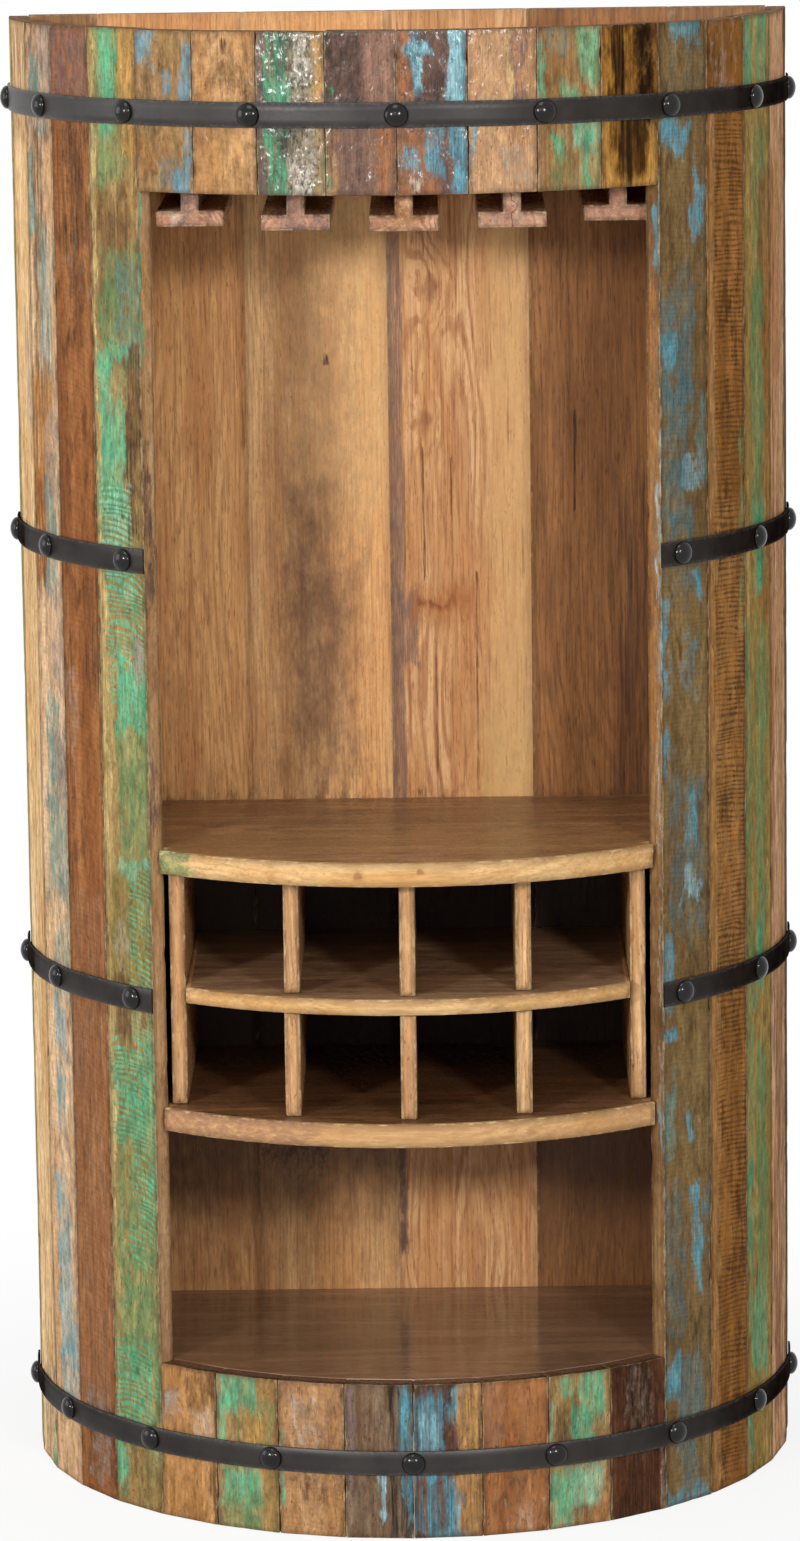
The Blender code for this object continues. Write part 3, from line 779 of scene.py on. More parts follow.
def section_of(node, place):
    """A solid's section seen from a place, anticlockwise from above, and its lowest and highest level."""
    mesh = frame["nodes"][node].data
    inverse = place.inverted()
    points = [inverse @ vertex.co for vertex in mesh.vertices]
    low = min(point.z for point in points)
    high = max(point.z for point in points)
    edges = set()
    for face in mesh.polygons:
        if all(points[corner].z < low + FLUSH for corner in face.vertices):
            corners = [(round(points[corner].x, 6), round(points[corner].y, 6)) for corner in face.vertices]
            edges.update(zip(corners[1:] + corners[:1], corners))
    follows = {first: second for first, second in edges if (second, first) not in edges}
    outline = [min(follows)]
    while follows[outline[-1]] != outline[0]:
        outline.append(follows[outline[-1]])
    foot = [Vector(corner) for corner in outline]
    eased = min(corner.y for corner in foot) - min(point.y for point in points)
    return grown(foot, eased), low, high


def slot_of(node):
    """The material slot that the record gives a node."""
    return next(part["material_slot"] for part in frame["record"]["subparts"] if part["node"] == node)


# Finishes that several pieces share

# Sawn ends: dark, dry and dull, with tight rings, and pale where the rim is rubbed
END_GRAIN = timber(
    "sawn_end_grain", WALNUT, seed=3.0, grain="ZYX", ring=0.004, figure=0.5, fibre=0.5, speckle=0.5, wear=0.3,
    worn="A98457", roughness=(0.5, 0.7), sheen=0.06,
)

# Ends of the base staves: the same grain under the lacquer of the floor board, so darker and with a shine
LACQUERED_END = timber(
    "lacquered_end_grain", Tones("2C1C12", "4E3626", "684A35"), seed=4.0, grain="ZYX", ring=0.004, wear=0.35,
    worn="A88562",
)

# Inner sides of the staves: bare brown wood with open fibres
STAVE_INSIDE = timber("bare_stave_back", WALNUT, seed=5.0, fibre=0.45)

# Hoops: nearly black, with a satin sheen where the wax is rubbed, which fades round the barrel
BAND_TINT = ("16110E", "2A2420")
BAND_ROUGHNESS = (0.36, 0.46)
BAND_RELIEF = 0.0001
TOP_BAND_STEEL = blackened_steel(
    "blackened_top_band_steel", BAND_TINT, BAND_ROUGHNESS, BAND_RELIEF, sheen=0.44, polish=(-0.14, 0.48)
)
BAND_STEEL = blackened_steel(
    "blackened_band_steel", BAND_TINT, BAND_ROUGHNESS, BAND_RELIEF, sheen=0.42, polish=(-0.03, 0.36)
)

# Rivets: darker and smoother than the bands, so each head holds a small sharp glint
RIVET_STEEL = blackened_steel(
    "forged_rivet_steel", ("090807", "131110"), (0.14, 0.20), relief=0.00004, sheen=0.30
)

# Jambs, the sawn edges of the two staves beside the opening: tan wood with paint left along the front
LEFT_JAMB = timber(
    "worn_left_jamb", Tones("74502F", "B08860", "D0AA7E"), seed=11.0, figure=0.3,
    half_width=1.0, grain="YXZ",
    patches=(
        Patch(MINT, -0.3985, -0.3955, 1.18, 1.36, 0.8, 0.004, "streak"),
        Patch(TAN, -0.398, -0.386, 0.60, 1.30, 0.6, 0.010, "streak"),
        Patch(PLUM, -0.396, -0.384, 0.93, 1.10, 0.7, 0.010),
        Patch(MINT, -0.3985, -0.394, 1.20, 1.31, 0.8, 0.004, "streak"),
        Patch(MAUVE, -0.398, -0.388, 0.71, 0.78, 0.7, 0.008),
    ),
)
RIGHT_JAMB = timber(
    "worn_right_jamb", Tones("583C22", "7E5C3A", "9A764E"), seed=12.0, figure=0.35,
    half_width=1.0, grain="YXZ",
    patches=(
        Patch(SKY, -0.3985, -0.393, 1.27, 1.35, 0.7, 0.006),
        Patch(ORANGE, -0.394, -0.380, 0.80, 1.25, 0.4, 0.010, "streak"),
        Patch(PALE_BLUE, -0.3985, -0.394, 0.86, 1.10, 0.55, 0.006),
        Patch(CHALK, -0.3985, -0.395, 0.30, 1.15, 0.35, 0.005),
        Patch(SKY, -0.3985, -0.395, 0.36, 0.42, 0.7, 0.005),
    ),
)

# Staves, from the opening outwards on each side, and from left to right above and below it

LEFT_STAVES = (
    Finish(Tones("4A341C", "8A6A3E", "AC8E5A"), (
        Patch(GREEN, -0.75, 1.0, 0.02, 1.20, 0.26, 0.014, "streak"),
        Patch(GREEN, -0.3, 1.0, 0.66, 0.82, 0.62, 0.016),
        Patch(GREEN, -0.6, 1.0, 0.10, 0.46, 0.52, 0.016),
        Patch(GREEN, -0.9, 0.4, 1.36, 1.53, 0.55, 0.014, "streak"),
        Patch(MINT, -0.45, 0.10, 1.41, 1.53, 0.95, 0.010),
        Patch(GOLD, 0.35, 1.0, 1.38, 1.53, 0.8, 0.008, "streak"),
        Patch(CREAM, -1.0, -0.72, 0.30, 1.53, 0.75, 0.008, "streak"),
        Patch(UMBER, -0.5, 0.75, 1.22, 1.33, 0.75, 0.014, "streak"),
        Patch(GREEN, -0.5, 0.95, 1.165, 1.285, 0.60, 0.020),
        Patch(TEAL, 0.2, 0.95, 1.19, 1.27, 0.45, 0.020),
        Patch(MINT, -0.70, 0.30, 1.08, 1.20, 0.85, 0.010),
        Patch(UMBER, 0.35, 1.0, 1.10, 1.20, 0.9, 0.006, "streak"),
        Patch(TAN, -0.2, 0.3, 1.14, 1.18, 0.7, 0.008),
        Patch(MINT, -0.8, 0.2, 1.02, 1.09, 0.8, 0.012),
        Patch(GREEN, -0.7, 0.45, 0.955, 1.06, 0.55, 0.012),
        Patch(PALE_MINT, -0.6, 0.35, 0.955, 1.05, 0.40, 0.010, "sawn"),
        Patch(BARE_DARK, 0.30, 0.8, 1.0, 1.11, 0.7, 0.010, "streak"),
        Patch(MINT, -0.55, 0.9, 0.86, 0.96, 0.34, 0.010, "chatter"),
        Patch(MINT, -0.25, 1.0, 0.815, 0.885, 0.95, 0.012),
        Patch(LILAC, 0.6, 1.0, 0.86, 0.90, 0.7, 0.010),
        Patch(OLIVE_PAINT, -0.9, 0.8, 0.56, 0.67, 0.85, 0.016, "streak"),
        Patch(PALE_MINT, -0.5, 0.9, 0.668, 0.682, 0.6, 0.006),
        Patch(CHALK, -0.45, 0.0, 0.57, 0.60, 0.25, 0.008),
        Patch(MINT, 0.2, 1.0, 0.44, 0.66, 0.34, 0.008, "chatter"),
        Patch(UMBER, -0.6, 0.1, 0.50, 0.56, 0.8, 0.012, "streak"),
        Patch(MINT, -0.7, 0.95, 0.40, 0.48, 0.62, 0.010, "chatter"),
        Patch(MINT, 0.1, 0.95, 0.27, 0.42, 0.36, 0.010, "sawn"),
        Patch(GREEN, -0.7, 0.9, 0.14, 0.27, 0.50, 0.012),
        Patch(MINT, -0.9, 0.6, 0.075, 0.165, 0.60, 0.010, "chatter"),
        Patch(MINT, -0.95, -0.6, 0.02, 0.07, 0.85, 0.008),
    ), speckle=0.45),
    Finish(Tones("50301A", "86522D", "A26C42"), (
        Patch(MAUVE, -1.0, 1.0, 1.43, 1.53, 0.6, 0.014),
        Patch(BARE_DARK, -0.3, 0.5, 1.20, 1.42, 0.5, 0.016),
        Patch(BARE_DARK, -0.9, 0.8, 1.30, 1.41, 0.45, 0.010, "streak"),
        Patch(CHALK, -0.2, 0.8, 1.25, 1.29, 0.12, 0.008),
        Patch(BARE_DARK, 0.3, 1.0, 0.84, 0.96, 0.45, 0.010, "streak"),
        Patch(LILAC, -0.9, -0.3, 0.80, 0.85, 0.35, 0.010),
        Patch(BARE_DARK, -1.0, -0.6, 0.30, 1.20, 0.35, 0.010, "streak"),
        Patch("A07A5C", -1.0, 1.0, 0.10, 0.62, 0.42, 0.016, "streak"),
        Patch(BARE_DARK, -0.5, 1.0, 0.02, 0.10, 0.5, 0.014),
        Patch(CHALK, -0.4, 0.6, 0.02, 0.10, 0.3, 0.008),
    ), saw_marks=0.12, speckle=0.3, figure=0.25),
    Finish(Tones("725034", "CAA076", "E8C49C"), (
        Patch(MAUVE, -1.0, 1.0, 1.40, 1.53, 0.55, 0.014),
        Patch(LILAC, 0.1, 0.95, 1.42, 1.53, 0.75, 0.010),
        Patch(TEAL, -0.7, 0.0, 1.435, 1.48, 0.8, 0.008),
        Patch(TEAL, -0.9, 0.4, 1.405, 1.42, 0.6, 0.008),
        Patch(TEAL, -1.0, -0.55, 1.30, 1.38, 0.9, 0.006, "streak"),
        Patch(BARE_DARK, -0.6, 0.2, 1.12, 1.40, 0.60, 0.010, "streak"),
        Patch(BARE_DARK, -0.9, -0.3, 0.93, 1.12, 0.45, 0.010, "streak"),
        Patch(CHALK, -0.3, 0.4, 1.17, 1.28, 0.62, 0.010),
        Patch(TEAL, -0.2, 0.7, 1.15, 1.30, 0.45, 0.012, "streak"),
        Patch(ORANGE, -1.0, 0.6, 1.00, 1.15, 0.7, 0.014, "streak"),
        Patch(LILAC, -0.1, 0.9, 1.02, 1.13, 0.7, 0.012),
        Patch(RUST, -1.0, -0.2, 0.95, 1.04, 0.8, 0.012, "streak"),
        Patch(TEAL, -0.2, 0.7, 0.93, 1.03, 0.75, 0.012),
        Patch(LILAC, 0.2, 1.0, 0.86, 0.95, 0.6, 0.010),
        Patch(TEAL, -0.4, 0.7, 0.73, 0.83, 0.75, 0.016),
        Patch(LILAC, 0.3, 1.0, 0.72, 0.80, 0.7, 0.010),
        Patch(TEAL, -0.5, 0.9, 0.62, 0.72, 0.75, 0.016),
        Patch(TEAL, -0.2, 0.9, 0.52, 0.58, 0.6, 0.014),
        Patch(MIST_BLUE, -0.4, 0.4, 0.45, 0.51, 0.75, 0.010),
        Patch(MIST_BLUE, -0.3, 0.4, 0.385, 0.425, 0.70, 0.010),
        Patch(MIST_BLUE, -0.6, 0.3, 0.27, 0.315, 0.6, 0.012),
        Patch(MIST_BLUE, -0.5, 0.6, 0.13, 0.27, 0.75, 0.014),
        Patch(LILAC, 0.0, 0.9, 0.15, 0.50, 0.35, 0.014),
        Patch(MIST_BLUE, -0.3, 0.8, 0.08, 0.16, 0.55, 0.012),
    ), saw_marks=0.1, speckle=0.35),
    Finish(Tones("A2774A", "E0B47E", "F4D4A4"), (
        Patch(PINK_TAN, -1.0, 1.0, 1.40, 1.53, 0.5, 0.014, "streak"),
        Patch(LILAC, 0.2, 1.0, 1.10, 1.22, 0.6, 0.010, "streak"),
        Patch(TAN, -0.4, 1.0, 0.1, 1.1, 0.4, 0.012, "streak"),
        Patch(MAUVE, -0.5, 0.9, 0.0, 0.10, 0.45, 0.012),
        Patch(MINT, 0.4, 1.0, 0.0, 0.04, 0.6, 0.008),
    ), speckle=0.2, figure=0.35),
    Finish(BLOND, (
        Patch(MOSS, -1.0, 1.0, 0.0, 1.53, 0.85, 0.016, "streak"),
        Patch(GREEN, -0.3, 0.6, 0.75, 1.35, 0.5, 0.012, "streak"),
        Patch(UMBER, -1.0, -0.2, 0.0, 0.5, 0.5, 0.016, "streak"),
    ), saw_marks=0.1, speckle=0.3),
)

RIGHT_STAVES = (
    Finish(Tones("3C2A15", "6E5430", "8C7248"), (
        Patch(SKY, -0.6, 0.7, 1.495, 1.53, 0.8, 0.008),
        Patch(TEAL, -0.8, 0.7, 1.43, 1.48, 0.25, 0.008),
        Patch(SKY, -1.0, 0.3, 1.385, 1.415, 0.85, 0.008),
        Patch(UMBER, 0.1, 0.9, 1.1, 1.4, 0.45, 0.014, "streak"),
        Patch(SKY, 0.45, 0.98, 1.295, 1.36, 0.85, 0.008),
        Patch(SLATE_BLUE, -0.9, 0.3, 1.12, 1.25, 0.55, 0.022),
        Patch(SKY, -1.0, -0.3, 1.17, 1.20, 0.9, 0.008),
        Patch(SLATE_BLUE, -0.8, 0.1, 1.02, 1.16, 0.50, 0.022),
        Patch(TEAL, 0.6, 1.0, 1.05, 1.13, 0.6, 0.012),
        Patch(PALE_BLUE, -0.1, 0.6, 1.05, 1.075, 0.55, 0.008),
        Patch(SLATE_BLUE, -0.6, 0.3, 0.95, 1.06, 0.42, 0.020),
        Patch(SKY, 0.45, 0.75, 0.935, 0.955, 0.8, 0.006),
        Patch(SKY, -1.0, -0.75, 0.84, 0.94, 0.85, 0.008),
        Patch(SKY, 0.0, 0.5, 0.84, 0.895, 0.35, 0.008),
        Patch(SKY, -1.0, -0.65, 0.775, 0.80, 0.8, 0.008),
        Patch(SKY, 0.1, 0.55, 0.69, 0.745, 0.75, 0.008, "streak"),
        Patch(SLATE_BLUE, -0.7, 0.6, 0.60, 0.76, 0.42, 0.016),
        Patch(PALE_BLUE, -0.1, 0.5, 0.625, 0.655, 0.6, 0.008),
        Patch(SKY, -1.0, -0.55, 0.53, 0.585, 0.75, 0.010),
        Patch(SKY, -1.0, -0.4, 0.49, 0.505, 0.85, 0.006),
        Patch(TEAL, -0.9, -0.45, 0.38, 0.44, 0.65, 0.010),
        Patch(SKY, 0.1, 0.4, 0.385, 0.415, 0.85, 0.006, "streak"),
        Patch(SKY, 0.2, 0.5, 0.22, 0.34, 0.9, 0.007, "streak"),
        Patch(SLATE_BLUE, 0.75, 1.0, 0.26, 0.32, 0.8, 0.008, "streak"),
        Patch(SLATE_BLUE, -0.9, -0.3, 0.19, 0.34, 0.42, 0.014),
        Patch(SKY, -1.0, -0.35, 0.11, 0.16, 0.9, 0.010),
        Patch(SLATE_BLUE, -0.3, 0.6, 0.09, 0.16, 0.6, 0.012, "streak"),
        Patch(SLATE_BLUE, -0.4, 0.4, 0.03, 0.07, 0.6, 0.012),
        Patch(SKY, -1.0, 0.8, 0.0, 0.018, 0.6, 0.008),
    ), saw_marks=0.12, speckle=0.3, figure=0.4),
    Finish(Tones("3E240C", "845522", "A87238"), (
        Patch(TAN, -0.5, 0.9, 0.55, 1.02, 0.40, 0.014),
        Patch("583610", -0.55, 0.95, 0.0, 1.43, 0.30, 0.010, "sawn", 0.45),
        Patch(TAN, -1.0, -0.55, 0.0, 1.42, 0.85, 0.010, "streak"),
        Patch(MOSS, 0.75, 1.0, 0.90, 1.10, 0.6, 0.008, "streak"),
        Patch(CHALK, -0.7, 0.4, 1.43, 1.53, 0.2, 0.008),
    ), speckle=0.3, figure=0.35),
    Finish(Tones("62491F", "9A7D40", "BC9C5C"), (
        Patch(MINT, -1.0, -0.4, 1.43, 1.53, 0.75, 0.010, "streak"),
        Patch(MINT, -0.1, 0.7, 1.43, 1.53, 0.6, 0.012, "streak"),
        Patch(GREEN, -0.3, 0.5, 1.20, 1.40, 0.6, 0.012, "streak"),
        Patch(RUST, 0.2, 1.0, 0.90, 1.35, 0.6, 0.014, "streak"),
        Patch(GREEN, -0.4, 0.4, 0.95, 1.25, 0.8, 0.012, "streak"),
        Patch(MINT, -0.3, 0.4, 0.93, 1.02, 0.7, 0.010, "streak"),
        Patch(GREEN, -0.9, -0.5, 0.30, 0.90, 0.65, 0.010, "streak"),
        Patch(GREEN, -0.1, 0.6, 0.55, 0.90, 0.75, 0.012, "streak"),
        Patch(MINT, -0.2, 0.4, 0.50, 0.58, 0.7, 0.010),
        Patch(GREEN, -0.2, 0.6, 0.20, 0.46, 0.8, 0.012, "streak"),
        Patch(MINT, -1.0, -0.5, 0.22, 0.33, 0.6, 0.010),
        Patch(MINT, -0.7, 0.4, 0.11, 0.20, 0.7, 0.012, "streak"),
        Patch(MINT, -0.9, -0.5, 0.02, 0.08, 0.7, 0.008, "streak"),
    ), saw_marks=0.05),
    Finish(ROSE, (
        Patch(RUST, -1.0, -0.5, 0.60, 1.35, 0.6, 0.012, "streak"),
        Patch(TAN, -0.2, 0.8, 0.55, 1.40, 0.55, 0.014, "streak"),
        Patch(UMBER, -0.6, 0.8, 0.05, 0.55, 0.5, 0.016, "streak"),
    ), figure=0.35),
    Finish(GREY_BROWN, (
        Patch(PLUM, -1.0, 1.0, 0.0, 1.53, 0.55, 0.016, "streak"),
        Patch(LILAC, -0.6, 0.3, 0.6, 1.3, 0.4, 0.014, "streak"),
    ), saw_marks=0.1, speckle=0.3),
)

FASCIA_STAVES = (
    Finish(Tones("5A4024", "8C683E", "AA8558"), (
        Patch(OLIVE_PAINT, -1.0, 1.0, 1.34, 1.53, 0.22, 0.014, "streak"),
        Patch(UMBER, -0.6, 0.6, 1.37, 1.50, 0.45, 0.016),
        Patch(DULL_SKY, -1.0, -0.45, 1.480, 1.510, 0.62, 0.008, "fleck"),
        Patch(DULL_SKY, -0.95, -0.6, 1.487, 1.505, 0.75, 0.006),
        Patch(DULL_SKY, 0.0, 0.3, 1.452, 1.470, 0.75, 0.006),
        Patch(DULL_SKY, 0.72, 1.0, 1.445, 1.498, 0.85, 0.006),
        Patch(DULL_SKY, 0.55, 0.8, 1.440, 1.465, 0.80, 0.006),
        Patch(RUST, -0.8, 0.2, 1.375, 1.40, 0.55, 0.012),
        Patch(DULL_SKY, 0.88, 1.0, 1.37, 1.42, 0.8, 0.005, "streak"),
        Patch(SLATE_BLUE, -0.1, 0.8, 1.365, 1.385, 0.35, 0.008, "fleck"),
        Patch(DULL_SKY, 0.25, 1.0, 1.345, 1.370, 0.80, 0.010),
    ), saw_marks=0.05, speckle=0.3),
    Finish(HONEY, (
        Patch(UMBER, -0.5, 0.9, 1.455, 1.475, 0.55, 0.008),
        Patch(BARE_DARK, -0.2, 0.15, 1.485, 1.50, 0.7, 0.008),
        Patch(BARE_DARK, 0.55, 0.8, 1.438, 1.452, 0.7, 0.006),
        Patch(TAN, -1.0, 0.6, 1.34, 1.41, 0.6, 0.012, "streak"),
    ), saw_marks=0.1, speckle=0.35, figure=0.6),
    Finish(Tones("33261A", "74634A", "9A876A"), (
        # Painted highlight: the two pale grey patches and the two chalk-white ones below stand in for glints
        # on this stave's lumpy lacquer
        Patch("A8A08A", -0.25, 0.70, 1.42, 1.53, 0.38, 0.014),
        Patch("B4AC98", -0.20, 0.85, 1.34, 1.42, 0.42, 0.014),
        Patch("7F9A7C", -0.6, 0.2, 1.40, 1.53, 0.35, 0.010),
        Patch(CHALK, 0.05, 0.45, 1.47, 1.505, 0.65, 0.008),
        Patch(CHALK, 0.0, 0.7, 1.352, 1.385, 0.70, 0.010),
        Patch("44341F", -0.35, 0.80, 1.34, 1.53, 0.42, 0.010, "fleck"),
        Patch(GOLD, 0.62, 1.0, 1.42, 1.53, 1.0, 0.006),
        Patch("B0925F", 0.72, 1.0, 1.34, 1.42, 0.8, 0.006),
        Patch(CHAR, -0.3, 0.35, 1.39, 1.43, 0.55, 0.010),
        Patch(PLUM, -1.0, -0.80, 1.34, 1.53, 1.0, 0.005, "streak"),
        Patch("38452F", -0.78, -0.20, 1.34, 1.53, 0.70, 0.008),
        Patch(EMERALD, -0.74, -0.62, 1.34, 1.53, 0.80, 0.003, "streak"),
        Patch(EMERALD, -0.58, -0.25, 1.36, 1.53, 0.34, 0.005, "streak"),
        Patch(MINT, -0.55, -0.05, 1.438, 1.466, 0.75, 0.008),
        Patch(MINT, -0.45, -0.20, 1.345, 1.385, 0.55, 0.008),
    ), speckle=0.6, gloss=0.6),
    Finish(Tones("28160E", "523526", "74523E"), (
        Patch("966E58", 0.18, 1.0, 1.42, 1.53, 0.80, 0.012),
        Patch("8A6652", -0.7, 0.4, 1.34, 1.42, 0.55, 0.014),
        Patch(PINK_TAN, 0.3, 1.0, 1.34, 1.42, 0.55, 0.014),
        Patch(RUST, 0.5, 1.0, 1.34, 1.42, 0.60, 0.010, "streak"),
        Patch(CHAR, -1.0, -0.1, 1.45, 1.53, 0.42, 0.012),
        Patch(CHAR, -0.9, -0.6, 1.48, 1.51, 0.55, 0.008),
        Patch(TAN, -1.0, -0.7, 1.34, 1.42, 0.6, 0.008),
        Patch(EMERALD, -1.0, -0.92, 1.36, 1.46, 0.7, 0.004, "streak"),
    ), speckle=0.5, gloss=0.55),
    Finish(DARK_BROWN, (
        Patch(RUST, -1.0, -0.68, 1.42, 1.53, 0.9, 0.008),
        Patch(RUST, -1.0, 0.2, 1.34, 1.42, 0.75, 0.012),
        Patch(PLUM, 0.0, 1.0, 1.34, 1.42, 0.75, 0.012),
        Patch(CHAR, -0.5, 0.35, 1.45, 1.51, 0.50, 0.010),
        Patch(SKY, -0.80, 0.0, 1.487, 1.500, 0.85, 0.005),
        Patch(PALE_BLUE, -0.5, 0.0, 1.488, 1.496, 0.70, 0.005, "fleck"),
        Patch(SKY, -0.55, -0.18, 1.455, 1.487, 0.9, 0.006),
        Patch(PALE_BLUE, -0.45, -0.2, 1.458, 1.48, 0.60, 0.005, "fleck"),
        Patch(SKY, -0.7, -0.3, 1.506, 1.53, 0.7, 0.005),
        Patch(SKY, 0.40, 0.95, 1.42, 1.53, 0.80, 0.008),
        Patch(PALE_BLUE, 0.42, 0.80, 1.43, 1.52, 0.85, 0.008),
        Patch(SKY, -0.15, 0.22, 1.372, 1.42, 0.65, 0.008),
        Patch(SKY, 0.45, 0.90, 1.385, 1.42, 0.75, 0.008),
        Patch(SKY, 0.55, 1.0, 1.34, 1.378, 0.85, 0.008),
        Patch(SKY, -0.9, -0.4, 1.376, 1.395, 0.6, 0.006, "fleck"),
        Patch(CHALK, -0.65, -0.45, 1.355, 1.366, 0.7, 0.004),
    ), speckle=0.5, gloss=0.55),
    Finish(Tones("8A5E3C", "BE8C60", "DAAE80"), (
        Patch("B48A62", -1.0, 0.2, 1.34, 1.53, 0.75, 0.020),
        Patch("A2764E", 0.22, 1.0, 1.34, 1.53, 0.9, 0.008),
        Patch(MAUVE, 0.30, 0.7, 1.43, 1.53, 0.45, 0.010),
        Patch("D8BC9C", 0.0, 0.8, 1.352, 1.395, 0.40, 0.010),
        Patch(CREAM, 0.16, 0.27, 1.43, 1.53, 0.9, 0.004, "streak"),
        Patch(SKY, -1.0, -0.88, 1.34, 1.42, 0.7, 0.005, "streak"),
    ), speckle=0.3, figure=0.35, gloss=0.5),
    Finish(Tones("4E3A20", "88683E", "A88C60"), (
        Patch(RED_BROWN.mid, -0.8, 0.5, 1.34, 1.53, 0.45, 0.014, "streak"),
        Patch(PINK_TAN, -1.0, -0.85, 1.34, 1.53, 0.8, 0.006, "streak"),
        Patch(MINT, -0.98, -0.80, 1.445, 1.495, 1.0, 0.005),
        Patch(TEAL, -0.6, -0.1, 1.49, 1.53, 0.35, 0.010),
        Patch("6FBF97", 0.36, 0.90, 1.452, 1.515, 0.95, 0.010),
        Patch(MOSS, 0.35, 1.0, 1.34, 1.53, 0.45, 0.014),
        Patch(MINT, -0.2, 0.3, 1.435, 1.455, 0.6, 0.008),
        Patch(MINT, -0.55, -0.25, 1.385, 1.41, 0.8, 0.008),
        Patch(PALE_MINT, 0.1, 1.0, 1.395, 1.42, 0.6, 0.012),
        Patch(MINT, 0.5, 0.68, 1.345, 1.41, 0.75, 0.005, "streak"),
        Patch(GREEN, -0.5, 0.1, 1.345, 1.38, 0.45, 0.012),
    ), speckle=0.3),
    Finish(Tones("3E230A", "8A5C20", "B5813A"), (
        Patch("6A4318", -0.60, 0.80, 1.385, 1.54, 0.65, 0.014),
        Patch(CHAR, -0.66, -0.18, 1.44, 1.54, 0.75, 0.012, "streak", 0.55),
        Patch(CHAR, 0.22, 0.82, 1.41, 1.54, 1.0, 0.012, soft=0.6),
        Patch(GOLD, -1.0, -0.58, 1.34, 1.425, 0.75, 0.008, "streak"),
        Patch(GOLD, 0.62, 1.0, 1.34, 1.415, 0.75, 0.008, "streak"),
        Patch(GOLD, -0.8, 0.8, 1.34, 1.362, 0.70, 0.008),
        Patch("2C1A0A", -0.34, 0.50, 1.366, 1.43, 0.80, 0.010, "streak", 0.55),
    ), speckle=0.3, gloss=0.10),
)

